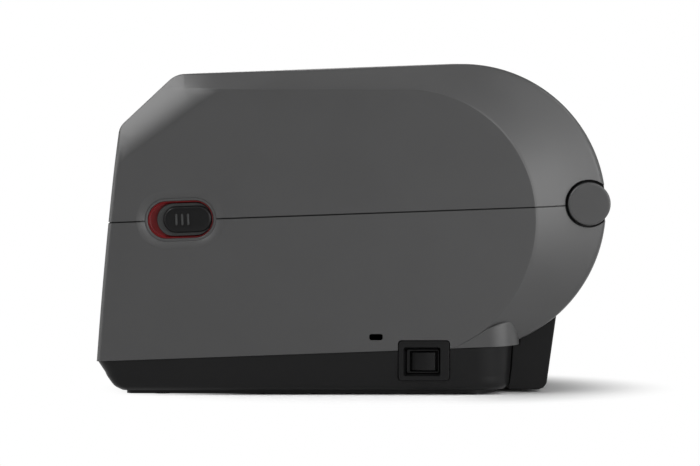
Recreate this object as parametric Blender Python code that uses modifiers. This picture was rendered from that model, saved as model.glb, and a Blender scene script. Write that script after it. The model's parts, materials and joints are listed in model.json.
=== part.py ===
"""Desktop thermal transfer printer with a lift-up cover.

Metres, +Z up, the front faces -Y and +X is the operator's right. The body is designed square to the parting
line between cover and lower housing, which climbs towards the rear. Places in that tilted frame are written
(x, u, v): u runs rearward along the parting line, v square to it, and both are zero at its front end.
"""

import math

import bmesh
import bpy
from mathutils import Matrix, Vector

# Running and assembly clearances
CLEAR = 0.0003
WELD = 0.000001
FLAT = math.radians(0.1)
OVERRUN = 0.002

# Body outline, square to the parting line
TILT = math.radians(2.07)
SEAM_GAP = 0.0008
HALF_WIDTH = 0.101
WALL = 0.0026
FOOT_U = -0.0099
LOWER_DEPTH, BASE_RISE = 0.0801, 0.0203
SEAM_Z = LOWER_DEPTH + BASE_RISE
TOP_V, FACET_FALL = 0.0844, 0.0293
FACET_LOW_U, FACET_LOW_V = 0.0082, TOP_V - FACET_FALL
FACET_HIGH_U = 0.0418
FACET_LOW_R, FACET_HIGH_R = 0.010, 0.014
DRUM_U, DRUM_SINK = 0.2056, 0.00145
DRUM_R = (TOP_V + LOWER_DEPTH) / 2 + DRUM_SINK
DRUM_V = TOP_V - DRUM_R
EDGE_R = 0.003
RING_DROP, RING_EDGE = 0.014, 0.0022

# Crease round the flat side panel, and the flare at its front top corner
CREASE_AHEAD, CREASE_BELOW, RING_W, RING_LOW_W = 0.0329, 0.0049, 0.0087, 0.0042
CREASE_U, CREASE_V = DRUM_U - CREASE_AHEAD, DRUM_V - CREASE_BELOW
CREASE_R, CREASE_LOW_R = DRUM_R - RING_W, DRUM_R - RING_LOW_W
CREASE_DROP = 0.0070
CREASE_FRONT_V = TOP_V - CREASE_DROP
FLARE_BELOW = 0.0179
FLARE_LOW_U, FLARE_LOW_V = 0.0080, FACET_LOW_V - FLARE_BELOW
FLARE_HIGH_U = 0.0690
FLARE_DROP, FLARE_REACH = 0.0082, 0.0184

# Plinth corner at the rear of the lower housing
PLINTH_AHEAD, PLINTH_BEHIND, PLINTH_R = 0.0156, 0.0304, 0.022
PLINTH_FRONT_U, PLINTH_REAR_U = DRUM_U - PLINTH_AHEAD, DRUM_U + PLINTH_BEHIND
PLINTH_T = 0.007
PLINTH_SKIN = 0.0001
LEDGE_START, LEDGE_LEVEL, LEDGE_LOW, LEDGE_RISE = 0.002, 0.006, 0.0009, 0.0134
LEDGE_LOW_U, LEDGE_HIGH_U = PLINTH_FRONT_U + LEDGE_START, PLINTH_REAR_U - LEDGE_LEVEL
LEDGE_LOW_V = LEDGE_LOW - LOWER_DEPTH
LEDGE_HIGH_V = LEDGE_LOW_V + LEDGE_RISE

# Hinge
HINGE_INSET = 0.0103
HINGE_U, HINGE_V = DRUM_U + DRUM_R - HINGE_INSET, 0.0006
CAP_INSET, CAP_LENGTH = 0.0055, 0.0115
CAP_R, CAP_FACE_X, CAP_CHAMFER = 0.0126, HALF_WIDTH - CAP_INSET, 0.0021
CAP_GAP, TAIL_GAP = 0.0009, 0.0019
BRACKET_W, BARREL_PLAY = 0.020, 0.0005
BRACKET_HIGH_X = CAP_FACE_X - CAP_LENGTH
BRACKET_LOW_X = BRACKET_HIGH_X - BRACKET_W
BARREL_R, BARREL_HALF = 0.0118, BRACKET_LOW_X - BARREL_PLAY
PIN_R, PIN_HALF = 0.003, BRACKET_HIGH_X
HINGE_WEB_LOW, HINGE_WEB_HIGH = math.radians(12), math.radians(24)
BRACKET_WEB_HIGH = math.radians(30)

# Half width of the print mechanism, which the pieces across it follow
FRAME_INSET, SHEET = 0.041, 0.0015
FRAME_X = HALF_WIDTH - FRAME_INSET

# Label exit
EXIT_INSET, EXIT_HEIGHT, EXIT_DROP = 0.002, 0.007, 0.009
EXIT_HALF = FRAME_X - EXIT_INSET
LIP_RISE, LIP_DEPTH, LIP_WALL = -0.001, 0.0086, 0.0022
LIP_LEG_U, LIP_LEG_V = 0.0032, -0.014
TEAR_INSET, TEAR_T, TEAR_DEPTH = 0.006, 0.0008, 0.006
TEAR_HALF = EXIT_HALF - TEAR_INSET
TEAR_PITCH, TEAR_TOOTH = 0.004, 0.0014

# Latch
LATCH_U, LATCH_V = 0.0418, 0.0003
POCKET_LENGTH, POCKET_HEIGHT = 0.0380, 0.0215
POCKET_GAP = 0.0004
DISH_LENGTH, DISH_HEIGHT, DISH_DEPTH = 0.0504, 0.0320, 0.0016
LINER_FACE, LINER_FLOOR, LINER_FLOOR_T, LINER_WALL = 0.0010, 0.0058, 0.0012, 0.0011
LINER_FLANGE, LINER_FLANGE_T = 0.0030, 0.0016
SLIDER_LENGTH, SLIDER_HEIGHT, SLIDER_T = 0.0311, 0.0188, 0.0018
SLIDER_REST = 0.0019
BUTTON_LENGTH, BUTTON_HEIGHT, BUTTON_RISE = 0.0269, 0.0150, 0.0030
BUTTON_BACK = 0.0019
RIB_W, RIB_HEIGHT, RIB_RISE, RIB_PITCH, RIB_FIRST = 0.0009, 0.0068, 0.0005, 0.00345, -0.0032
LATCH_TRAVEL = 0.0040
STEM_W, STEM_BACK = 0.006, 0.0073
HOOK_T, HOOK_TOP, HOOK_LENGTH = 0.003, 0.020, 0.0049
CATCH_U, CATCH_W = 0.0440, 0.006
CATCH_V, CATCH_TOP, CATCH_T, CATCH_REACH = 0.015, 0.030, 0.0015, 0.008

# Control panel on the front facet
PANEL_INSET, PANEL_HEIGHT, PANEL_T, PANEL_CORNER = 0.053, 0.030, 0.0013, 0.004
PANEL_HALF = HALF_WIDTH - PANEL_INSET
FEED_X, FEED_R, FEED_RISE, FEED_FLANGE, FEED_FLANGE_T = PANEL_HALF / 2, 0.006, 0.0009, 0.0015, 0.001
LIGHT_X, LIGHT_HALF, LIGHT_HEIGHT = -PANEL_HALF * 5 / 12, PANEL_HALF / 4, 0.003

# Media bay and deck
DECK_TOP, DECK_T, DECK_INSET, DECK_TAPER_X = -0.0026, 0.0022, 0.003, 0.006
DECK_HALF = HALF_WIDTH - DECK_INSET
DECK_REAR_INSET, DECK_TAPER = 0.0288, 0.0145
DECK_REAR_U, DECK_REAR_X = DRUM_U + DRUM_R - DECK_REAR_INSET, DECK_HALF - DECK_TAPER_X
DECK_FRONT_U, DECK_TAPER_U = 0.0030, DECK_REAR_U - DECK_TAPER
ROLL_AHEAD, CRADLE_FLOOR, CRADLE_T = 0.0066, 0.0091, 0.0024
ROLL_U, ROLL_V = DRUM_U - ROLL_AHEAD, -0.004
CRADLE_R = LOWER_DEPTH + ROLL_V - CRADLE_FLOOR
CRADLE_START, CRADLE_END = math.radians(-30), math.radians(-180)
BAY_INSET = 0.013
BAY_HALF, BAY_REAR_U = HALF_WIDTH - BAY_INSET, ROLL_U + CRADLE_R * math.cos(CRADLE_START)
GEAR_OUT, GEAR_A_T, GEAR_B_T = 0.0035, 0.005, 0.004
GEAR_A_X = FRAME_X + GEAR_OUT
WELL_PAST_GEAR, WELL_PAST_FRAME, WELL_REAR = 0.0155, 0.004, 0.0345
WELL_LEFT, WELL_RIGHT = GEAR_A_X + WELL_PAST_GEAR, FRAME_X + WELL_PAST_FRAME
RIM_T, RIM_RISE, RIM_INSET = 0.0018, 0.0032, 0.0002
RIM_X, RIM_FRONT_X = DECK_HALF - RIM_INSET, WELL_RIGHT
LATCH_WELL_DEPTH, LATCH_WELL_REACH = 0.0142, 0.0228
LATCH_WELL_X = HALF_WIDTH - LATCH_WELL_DEPTH
LATCH_WELL_LOW, LATCH_WELL_HIGH = LATCH_U - LATCH_WELL_REACH, LATCH_U + LATCH_WELL_REACH

# Roll guides, racks and pinion
GUIDE_INSET, GUIDE_T, GUIDE_R = 0.031, 0.0025, 0.020
GUIDE_X = BAY_HALF - GUIDE_INSET
GUIDE_LIFT, GUIDE_FOOT_W = 0.005, 0.010
GUIDE_FOOT_V = ROLL_V - CRADLE_R + GUIDE_LIFT
FENCE_U, FENCE_LOW, FENCE_TOP = 0.060, -0.0023, 0.006
HUB_R, HUB_TIP_R, HUB_LENGTH = 0.0122, 0.0095, 0.009
MODULE = 0.001
PINION_TEETH = 20
RACK_BELOW, RACK_T, RACK_BACK, RACK_PAST = 0.0085, 0.004, 0.0035, 0.008
RACK_LOW = ROLL_V - CRADLE_R - RACK_BELOW
LEG_T = 0.004
SLOT_START = 0.010
TRACK_PAST, TRACK_W, TRACK_T, TRACK_POST = 0.009, 0.026, 0.002, 0.002
TRACK_HALF = GUIDE_X + TRACK_PAST
TRACK_POST_W = 0.008
PINION_PIN_R = 0.003

# Platen, its frame and drive
NIP_V = 0.0003
PLATEN_U, PLATEN_R, PLATEN_INSET, SHAFT_R = 0.018, 0.0085, 0.004, 0.003
PLATEN_HALF = FRAME_X - PLATEN_INSET
FRAME_LOW_U, FRAME_HIGH_U, FRAME_FLOOR_V = 0.008, 0.034, -0.020
FLANGE_W, FLANGE_FRONT_U, FLANGE_REAR_U = 0.0045, 0.0352, 0.0460
FLANGE_X = FRAME_X - FLANGE_W
EAR_REAR_U = 0.050
BUSH, BUSH_T, BUSH_OUT = 0.010, 0.004, 0.0008
MOTOR_U, MOTOR_V, MOTOR_SIDE, MOTOR_LENGTH, MOTOR_CORNER = 0.0514, -0.0295, 0.034, 0.033, 0.004
MOTOR_PLATE_EDGE = 0.003
PLATEN_TEETH, IDLER_SMALL, IDLER_LARGE, MOTOR_TEETH = 22, 14, 32, 12
IDLER_PIN_R, MOTOR_SHAFT_R = 0.0025, 0.0025

# Media sensor
SENSOR_U, RAIL_R, RAIL_DROP = 0.0435, 0.0015, 0.0062
SENSOR_W, SENSOR_D, SENSOR_END = 0.012, 0.0066, 0.020
SENSOR_TRAVEL = FRAME_X - SENSOR_END

# Ribbon mechanism in the cover
RIBBON_OUT, RIBBON_T, RIBBON_HEADROOM = 0.002, 0.0025, 0.0124
RIBBON_X, RIBBON_TOP_V = FRAME_X + RIBBON_OUT, TOP_V - RIBBON_HEADROOM
TAKEUP_BELOW, SUPPLY_BELOW = 0.0242, 0.0265
TAKEUP_U, TAKEUP_V = 0.0518, RIBBON_TOP_V - TAKEUP_BELOW
SUPPLY_U, SUPPLY_V = 0.1138, RIBBON_TOP_V - SUPPLY_BELOW
SPINDLE_R, CORE_R, CORE_HALF, CORE_FLANGE_R, CORE_FLANGE_T = 0.004, 0.006, PLATEN_HALF, 0.013, 0.0015
RIBBON_LOW_V = 0.008
BAR_LOW_U, BAR_HIGH_U, BAR_V, BAR_T = 0.012, 0.030, 0.020, 0.0025
GUIDE_ROD_R = 0.002
FRONT_ROD_U, FRONT_ROD_V = 0.0125, 0.0145
REAR_ROD_U, REAR_ROD_V = 0.0640, 0.0115
POST_R, POST_INSET, POST_FRONT_U, POST_REAR_U = 0.004, 0.022, 0.056, 0.122
POST_X = RIBBON_X - POST_INSET
TAKEUP_TEETH, RIBBON_PINION_TEETH = 24, 12
RIBBON_GEAR_OUT, RIBBON_GEAR_T = 0.004, 0.004
GEAR_PLATE_OUT, GEAR_PLATE_R = 0.0065, 0.010
RIBBON_GEAR_X = RIBBON_X + RIBBON_GEAR_OUT
GEAR_PLATE_X = RIBBON_GEAR_X + GEAR_PLATE_OUT
RIBBON_MOTOR_TURN = math.radians(40)
RIBBON_MOTOR_R, RIBBON_MOTOR_LENGTH = 0.0115, 0.018
GEAR_POST_R = 0.0022

# Printhead
HEAD_FRONT_U, HEAD_REAR_U, HEAD_INSET, HEAD_T = 0.0145, 0.040, 0.002, 0.002
BRACKET_T, BRACKET_FRONT_U, BRACKET_PAST = 0.0068, 0.013, 0.001
HEAD_HALF = PLATEN_HALF - HEAD_INSET
BRACKET_HALF = HEAD_HALF + BRACKET_PAST
HEAD_PIVOT_U, HEAD_PIVOT_V, HEAD_PIVOT_R, HEAD_EYE_R = 0.050, 0.0125, 0.0025, 0.005
FIN_GAP, FIN_DEPTH, FIN_PITCH, FIN_FIRST = 0.0016, 0.003, 0.0045, 0.0270
FIN_COUNT = 4
SPRING_U, SPRING_INSET, SPRING_R, SPRING_WIRE = 0.0205, 0.024, 0.0036, 0.0005
SPRING_X = HEAD_HALF - SPRING_INSET
SPRING_TURNS, SPRING_POINTS = 4, 10

# Where the parting line, the front foot and the drum stand along the table
TILT_COS, TILT_SIN = math.cos(TILT), math.sin(TILT)
FRONT_REACH = FOOT_U * TILT_COS + LOWER_DEPTH * TILT_SIN
REAR_REACH = HINGE_U * TILT_COS - HINGE_V * TILT_SIN + CAP_R
SEAM_Y = -(FRONT_REACH + REAR_REACH) / 2
FRONT_Y, DRUM_Y = SEAM_Y + FRONT_REACH, SEAM_Y + DRUM_U

# Base tray, feet and rear panel
BASE_INSET, BASE_FRONT_INSET, BASE_BEHIND = 0.0007, 0.0003, 0.0291
BASE_TOP_HALF, BASE_REAR_Y = HALF_WIDTH - BASE_INSET, DRUM_Y + BASE_BEHIND
BASE_SHOULDER_Z, BASE_KNEE_Z, BASE_Z = 0.0112, 0.0055, 0.0028
BASE_LEAN, BASE_FRONT_LEAN, BASE_REAR_LEAN = 0.0017, 0.0051, 0.0013
BASE_KNEE, BASE_FRONT_KNEE, BASE_REAR_KNEE = 0.0008, 0.0043, 0.0007
BASE_TUCK, BASE_FRONT_TUCK, BASE_REAR_TUCK = 0.0026, 0.0047, 0.0024
BASE_FRONT_R, BASE_REAR_R = 0.009, 0.022
BASE_WALL = 0.0024
BASE_CORNER_LOSS = 0.0015
FOOT_R, FOOT_LOW_R, FOOT_INSET, FOOT_AHEAD, FOOT_BEHIND = 0.0085, 0.0075, 0.023, 0.0372, 0.0026
FOOT_X, FOOT_FRONT_Y, FOOT_REAR_Y = HALF_WIDTH - FOOT_INSET, FRONT_Y + FOOT_AHEAD, DRUM_Y + FOOT_BEHIND
PANEL_BEHIND, PANEL_LEAN, PANEL_REST, PANEL_SIDE_INSET = 0.0533, 0.0053, 0.0007, 0.025
PANEL_TOP_Y, PANEL_TOP_Z = DRUM_Y + PANEL_BEHIND, 0.0425
PANEL_LOW_Y, PANEL_LOW_Z = PANEL_TOP_Y - PANEL_LEAN, 0.0102
PANEL_REST_Y, PANEL_Z = BASE_REAR_Y + PANEL_REST, 0.0041
PANEL_X, PANEL_WALL = HALF_WIDTH - PANEL_SIDE_INSET, 0.0025
PANEL_TUCK = 0.0066
PORT_Z, PORT_DEPTH, PORT_WALL, PORT_PROUD = 0.0225, 0.014, 0.0012, 0.0006
PORT_PITCH, POWER_INSET = 0.030, 0.026
POWER_W, POWER_H, POWER_BORE_R, POWER_PIN_R = 0.0130, 0.0130, 0.0048, 0.0012
POWER_X = PANEL_X - POWER_INSET
USB_X, USB_W, USB_H = POWER_X - PORT_PITCH, 0.0120, 0.0110
NETWORK_X, NETWORK_W, NETWORK_H = USB_X - PORT_PITCH, 0.0160, 0.0135
BOARD_INSET, BOARD_REAR_INSET, BOARD_LENGTH, BOARD_Z, BOARD_T = 0.031, 0.0145, 0.138, 0.012, 0.0016
BOARD_HALF, BOARD_REAR_Y = HALF_WIDTH - BOARD_INSET, BASE_REAR_Y - BOARD_REAR_INSET
BOARD_FRONT_Y = BOARD_REAR_Y - BOARD_LENGTH
BOARD_POST_R, BOARD_POST_INSET = 0.0035, 0.006
CHIP_W, CHIP_T, HEADER_W, HEADER_L, HEADER_T = 0.024, 0.002, 0.006, 0.040, 0.007

# Power switch and lock slot, level with the base on the right-hand side
SWITCH_W, SWITCH_H, SWITCH_CORNER, SWITCH_DEPTH = 0.0297, 0.0233, 0.0025, 0.0120
SWITCH_AHEAD, SWITCH_SINK = 0.0228, 0.0002
SWITCH_Y, SWITCH_Z, SWITCH_FACE_X = DRUM_Y - SWITCH_AHEAD, 0.0204, HALF_WIDTH - SWITCH_SINK
RECESS_W, RECESS_H, RECESS_DEPTH, RECESS_DROP = 0.0216, 0.0168, 0.0050, 0.0011
BODY_W, BODY_H, BODY_T = 0.0200, 0.0160, 0.0066
WINDOW_W, WINDOW_H, WINDOW_DEPTH = 0.0178, 0.0118, 0.0052
ROCKER_HALF, ROCKER_H = 0.0082, 0.0110
ROCKER_END, ROCKER_MIDDLE, ROCKER_BACK, ROCKER_BELLY = 0.0030, 0.0019, 0.0006, 0.0014
ROCKER_THROW = math.radians(7)
LOCK_AHEAD, LOCK_LENGTH, LOCK_HEIGHT = 0.0278, 0.0070, 0.0030
LOCK_Y, LOCK_Z = SWITCH_Y - LOCK_AHEAD, 0.0337

DRUM_END = -math.radians(84)
FACET_ANGLE = math.atan2(TOP_V - FACET_LOW_V, FACET_HIGH_U - FACET_LOW_U)
PLATEN_V = NIP_V - PLATEN_R
HALF = 0.5
WHOLE_TURN = 2 * math.pi

# Outlines are drawn flat and then turned: seen from the side, from the front, or from above
FROM_SIDE = Matrix(((0, 0, 1), (1, 0, 0), (0, 1, 0))).to_4x4()
FROM_FRONT = Matrix(((1, 0, 0), (0, 0, -1), (0, 1, 0))).to_4x4()
FROM_ABOVE = Matrix.Identity(4)


def cleared_collection(name):
    collection = bpy.data.collections.new(name)
    bpy.context.scene.collection.children.link(collection)
    return collection


for old in list(bpy.data.objects):
    bpy.data.objects.remove(old, do_unlink=True)
PARTS = cleared_collection("thermal_transfer_printer")
CUTTERS = cleared_collection("cutters")
CUTTERS.hide_render = True


def material(name, color, roughness, metallic=0.0):
    made = bpy.data.materials.new(name)
    made.use_nodes = True
    made.diffuse_color = (*color, 1)
    shader = made.node_tree.nodes["Principled BSDF"]
    shader.inputs["Base Color"].default_value = (*color, 1)
    shader.inputs["Roughness"].default_value = roughness
    shader.inputs["Metallic"].default_value = metallic
    return made


GREY = material("grey_plastic", (0.075, 0.075, 0.077), 0.45)
BLACK = material("black_plastic", (0.018, 0.018, 0.019), 0.5)
INNER = material("inner_plastic", (0.03, 0.03, 0.032), 0.55)
RED = material("red_plastic", (0.30, 0.016, 0.025), 0.45)
GLOSS = material("gloss_panel", (0.01, 0.01, 0.012), 0.15)
LENS = material("clear_lens", (0.55, 0.62, 0.60), 0.2)
RUBBER = material("rubber", (0.02, 0.02, 0.02), 0.8)
STEEL = material("steel", (0.55, 0.56, 0.57), 0.3, 1.0)
ZINC = material("zinc_plate", (0.62, 0.63, 0.64), 0.4, 1.0)
ALUMINIUM = material("aluminium", (0.7, 0.71, 0.73), 0.35, 1.0)
GEAR_WHITE = material("gear_resin", (0.72, 0.70, 0.64), 0.5)
CERAMIC = material("ceramic", (0.80, 0.77, 0.70), 0.25)
BOARD_GREEN = material("board", (0.01, 0.10, 0.04), 0.4)


def empty(name, parent=None, at=(0, 0, 0), turn=0):
    made = bpy.data.objects.new(name, None)
    PARTS.objects.link(made)
    made.parent = parent
    made.location = at
    made.rotation_euler.x = turn
    return made


BODY = empty("body_frame", None, (0, SEAM_Y, SEAM_Z), TILT)
FACET = empty(
    "facet_frame",
    BODY,
    (0, (FACET_LOW_U + FACET_HIGH_U) / 2, (FACET_LOW_V + TOP_V) / 2),
    FACET_ANGLE,
)


def smooth(mesh):
    mesh.shade_smooth()
    mesh.set_sharp_from_angle(angle=math.radians(28))


def piece(name, mesh, look, parent=BODY, at=(0, 0, 0), turn=0):
    made = bpy.data.objects.new(name, mesh)
    smooth(mesh)
    mesh.materials.append(look)
    PARTS.objects.link(made)
    made.parent = parent
    made.location = at
    made.rotation_euler.x = turn
    return made


def tool(mesh, parent=BODY, at=(0, 0, 0), turn=0):
    """A helper solid that a Boolean adds or takes away."""
    made = bpy.data.objects.new("tool", mesh)
    CUTTERS.objects.link(made)
    made.parent = parent
    made.location = at
    made.rotation_euler.x = turn
    made.hide_render = True
    made.display_type = "WIRE"
    return made


def combine(target, helper, operation):
    modifier = target.modifiers.new(operation.lower(), "BOOLEAN")
    modifier.operation = operation
    modifier.solver = "EXACT"
    modifier.object = helper


def cut(target, *helpers):
    for helper in helpers:
        combine(target, helper, "DIFFERENCE")


def join(target, *helpers):
    for helper in helpers:
        combine(target, helper, "UNION")


def mesh_from(bm, name="shape"):
    mesh = bpy.data.meshes.new(name)
    bm.to_mesh(mesh)
    bm.free()
    return mesh


def box(x, y, z):
    """A box between the two values of each pair."""
    bm = bmesh.new()
    bmesh.ops.create_cube(bm, size=1)
    size = Vector((x[1] - x[0], y[1] - y[0], z[1] - z[0]))
    middle = Vector((x[1] + x[0], y[1] + y[0], z[1] + z[0])) / 2
    bmesh.ops.scale(bm, vec=size, verts=bm.verts)
    bmesh.ops.translate(bm, vec=middle, verts=bm.verts)
    return mesh_from(bm)


def rod(radius, low, high, end_radius=None, centre=(0, 0), axis="X", segments=24):
    """A round bar from low to high along the axis, centred on the other two coordinates."""
    bm = bmesh.new()
    bmesh.ops.create_cone(
        bm,
        cap_ends=True,
        segments=segments,
        radius1=radius,
        radius2=radius if end_radius is None else end_radius,
        depth=high - low,
    )
    turn = {"X": Matrix.Rotation(math.pi / 2, 4, "Y"), "Y": Matrix.Rotation(-math.pi / 2, 4, "X"), "Z": Matrix()}
    bm.transform(turn[axis])
    middle = (low + high) / 2
    place = {
        "X": (middle, centre[0], centre[1]),
        "Y": (centre[0], middle, centre[1]),
        "Z": (centre[0], centre[1], middle),
    }
    bmesh.ops.translate(bm, vec=place[axis], verts=bm.verts)
    return mesh_from(bm)


def turned(profile, steps=24):
    """A solid turned about X from points (radius, x), which run down its outer side and back up any bore."""
    bm = bmesh.new()
    verts = [bm.verts.new((radius, 0, height)) for radius, height in profile]
    for first, second in zip(verts, verts[1:]):
        bm.edges.new((first, second))
    if min(radius for radius, _ in profile) > 0:
        bm.edges.new((verts[-1], verts[0]))
    holder = bpy.data.objects.new("profile", mesh_from(bm))
    bpy.context.scene.collection.objects.link(holder)
    screw = holder.modifiers.new("turn", "SCREW")
    screw.steps = steps
    screw.render_steps = steps
    screw.use_merge_vertices = True
    screw.merge_threshold = WELD
    mesh = evaluated_mesh(holder)
    mesh.transform(Matrix.Rotation(math.pi / 2, 4, "Y"))
    return mesh


def evaluated_mesh(holder):
    bpy.context.view_layer.update()
    graph = bpy.context.evaluated_depsgraph_get()
    mesh = bpy.data.meshes.new_from_object(holder.evaluated_get(graph))
    bpy.data.objects.remove(holder, do_unlink=True)
    return mesh


def extruded(loops, low, high, view=FROM_SIDE):
    """A flat outline, with any holes, made solid from low to high along the direction it is seen from."""
    curve = bpy.data.curves.new("outline", "CURVE")
    curve.dimensions = "2D"
    curve.fill_mode = "BOTH"
    curve.extrude = abs(high - low) / 2
    for loop in loops:
        spline = curve.splines.new("POLY")
        spline.points.add(len(loop) - 1)
        for point, place in zip(spline.points, loop):
            point.co = (place[0], place[1], 0, 1)
        spline.use_cyclic_u = True
    holder = bpy.data.objects.new("outline", curve)
    bpy.context.scene.collection.objects.link(holder)
    mesh = evaluated_mesh(holder)
    bm = bmesh.new()
    bm.from_mesh(mesh)
    bmesh.ops.remove_doubles(bm, verts=bm.verts, dist=WELD)
    bmesh.ops.dissolve_limit(bm, angle_limit=FLAT, verts=bm.verts, edges=bm.edges)
    bm.transform(view)
    depth = {0: Vector((1, 0, 0)), 1: Vector((0, 1, 0)), 2: Vector((0, 0, 1))}
    index = 0 if view is FROM_SIDE else 1 if view is FROM_FRONT else 2
    bmesh.ops.translate(bm, vec=depth[index] * (low + high) / 2, verts=bm.verts)
    bmesh.ops.recalc_face_normals(bm, faces=bm.faces)
    bm.to_mesh(mesh)
    bm.free()
    return mesh


def between(first, second, share):
    return tuple(a + (b - a) * share for a, b in zip(first, second))


def arc(centre, radius, start, end, steps):
    angles = [start + (end - start) * i / steps for i in range(steps + 1)]
    return [(centre[0] + radius * math.cos(a), centre[1] + radius * math.sin(a)) for a in angles]


def arc_through(first, middle, last, steps):
    """Points on the circle through three points, from the first to the last."""
    a, b, c = Vector(first), Vector(middle), Vector(last)
    ab, ac = b - a, c - a
    cross = 2 * ab.cross(ac)
    offset = Vector((ac.y * ab.length_squared - ab.y * ac.length_squared, ab.x * ac.length_squared - ac.x * ab.length_squared)) / cross
    centre = a + offset
    start = math.atan2(*(a - centre).yx)
    end = math.atan2(*(c - centre).yx)
    turn = math.remainder(end - start, WHOLE_TURN)
    return arc(centre, offset.length, start, start + turn, steps)


def fillet(before, corner, after, radius, steps=3):
    """Points of the arc that rounds one corner of an outline."""
    corner = Vector(corner)
    back = (Vector(before) - corner).normalized()
    ahead = (Vector(after) - corner).normalized()
    half_angle = back.angle(ahead) / 2
    centre = corner + (back + ahead).normalized() * radius / math.sin(half_angle)
    reach = radius / math.tan(half_angle)
    start = corner + back * reach - centre
    end = corner + ahead * reach - centre
    first = math.atan2(start.y, start.x)
    turn = math.remainder(math.atan2(end.y, end.x) - first, WHOLE_TURN)
    return arc(centre, radius, first, first + turn, steps)


def rounded(points, radius, steps=3):
    found = []
    for i, corner in enumerate(points):
        found += fillet(points[i - 1], corner, points[(i + 1) % len(points)], radius, steps)
    return found


def rectangle(x, y, radius=None, steps=3):
    corners = [(x[0], y[0]), (x[1], y[0]), (x[1], y[1]), (x[0], y[1])]
    return rounded(corners, radius, steps) if radius else corners


def pill(length, height, steps=8):
    run = (length - height) / 2
    right = arc((run, 0), height / 2, -math.pi / 2, math.pi / 2, steps)
    return right + [(-a, -b) for a, b in right]


def shifted(points, a, b):
    return [(x + a, y + b) for x, y in points]


def mirrored(points):
    """The outline's other half about its vertical axis, in reverse order."""
    return [(-a, b) for a, b in reversed(points)]


def to_world(u, v):
    return SEAM_Y + u * TILT_COS - v * TILT_SIN, SEAM_Z + u * TILT_SIN + v * TILT_COS


def to_body(y, z):
    dy, dz = y - SEAM_Y, z - SEAM_Z
    return dy * TILT_COS + dz * TILT_SIN, dz * TILT_COS - dy * TILT_SIN


def lower_edge_z(y):
    """Height of the lower housing's bottom edge above the table."""
    u = (y - SEAM_Y - LOWER_DEPTH * TILT_SIN) / TILT_COS
    return to_world(u, -LOWER_DEPTH)[1]


def crease_line_v(u):
    """The crease below the chamfered top edge, from the facet back to the drum."""
    share = (u - FLARE_LOW_U) / (CREASE_U - FLARE_LOW_U)
    return CREASE_FRONT_V + (CREASE_V + CREASE_R - CREASE_FRONT_V) * share


FLARE_LOW = Vector((FLARE_LOW_U, FLARE_LOW_V))
FLARE_HIGH = Vector((FLARE_HIGH_U, crease_line_v(FLARE_HIGH_U)))
FLARE_ALONG = (FLARE_HIGH - FLARE_LOW).normalized()


def flare_drop(place):
    """How far the side has turned inward at a place near the front top corner."""
    away = Vector(place) - FLARE_LOW
    reach = max(0, FLARE_ALONG.x * away.y - FLARE_ALONG.y * away.x)
    return FLARE_DROP * (reach / FLARE_REACH) ** 2


def front_arc(steps=7):
    return arc_through((FOOT_U, -LOWER_DEPTH), (0, 0), (FACET_LOW_U, FACET_LOW_V), steps)


def band_point():
    """Where the crease below the top edge reaches the facet."""
    share = (CREASE_FRONT_V - FACET_LOW_V) / (TOP_V - FACET_LOW_V)
    return between((FACET_LOW_U, FACET_LOW_V), (FACET_HIGH_U, TOP_V), share)


def body_outline():
    """Side view outline as (point, kind), from the front's foot over the top and round the drum."""
    front = front_arc()
    front[0] = between(*front[:2], -1 / 8)
    low, high, far = (FACET_LOW_U, FACET_LOW_V), (FACET_HIGH_U, TOP_V), (DRUM_U, TOP_V)
    edge = [(p, "front") for p in front[:-1]]
    edge += [(p, "front") for p in fillet(front[-2], low, high, FACET_LOW_R)]
    edge += [(between(low, high, HALF), "front"), (band_point(), "front")]
    edge += [(p, "band") for p in fillet(low, high, far, FACET_HIGH_R)]
    tops = 4
    edge += [((FLARE_HIGH_U + (DRUM_U - FLARE_HIGH_U) * i / tops, TOP_V), "band") for i in range(tops)]
    edge += [(p, "drum") for p in arc((DRUM_U, DRUM_V), DRUM_R, math.pi / 2, DRUM_END, 23)]
    return edge


def panel_edge(outline):
    """The point of the flat panel's edge that belongs to each point of the outline."""
    start = next(i for i, (_, kind) in enumerate(outline) if kind == "band")
    first_u, last_u = outline[start][0][0], DRUM_U
    low_first = band_point()[0] + 2 * EDGE_R
    angles = [math.atan2(p[1] - DRUM_V, p[0] - DRUM_U) for p, _ in outline]
    found = []
    for i, (point, kind) in enumerate(outline):
        if kind == "front":
            ahead = Vector(outline[i + 1][0]) - Vector(outline[max(i - 1, 0)][0])
            inward = Vector((ahead.y, -ahead.x)).normalized()
            place = Vector(point) + inward * EDGE_R
            found.append((place.x, min(place.y, crease_line_v(place.x))))
        elif kind == "band":
            share = (point[0] - first_u) / (last_u - first_u)
            u = low_first + (CREASE_U - low_first) * share
            found.append((u, crease_line_v(u)))
        else:
            high = CREASE_R if angles[i] > 0 else CREASE_LOW_R
            u = CREASE_U + CREASE_R * math.cos(angles[i])
            found.append((u, CREASE_V + high * math.sin(angles[i])))
    return found


def side_rows(point, kind, low, inner):
    """One station of the half body: its points from the middle plane, over the edge, to the flat side panel."""
    turn = 1 - math.sqrt(HALF)
    low_drop = flare_drop(low)
    if kind == "front":
        outer_drop, turn_drop, share = low_drop + EDGE_R, low_drop + turn * EDGE_R, 1 - turn
    else:
        width = (Vector(point) - Vector(low)).length
        share = 1 - RING_EDGE / width
        outer_drop, turn_drop = RING_DROP + RING_EDGE, low_drop + (RING_DROP - low_drop) * share
    rows = [(0, point), (HALF_WIDTH - outer_drop, point), (HALF_WIDTH - turn_drop, between(low, point, share))]
    rows.append((HALF_WIDTH - low_drop, low))
    for step in (1 / 3, 2 / 3, 1):
        place = between(low, inner, step)
        rows.append((HALF_WIDTH - flare_drop(place), place))
    return rows


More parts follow.
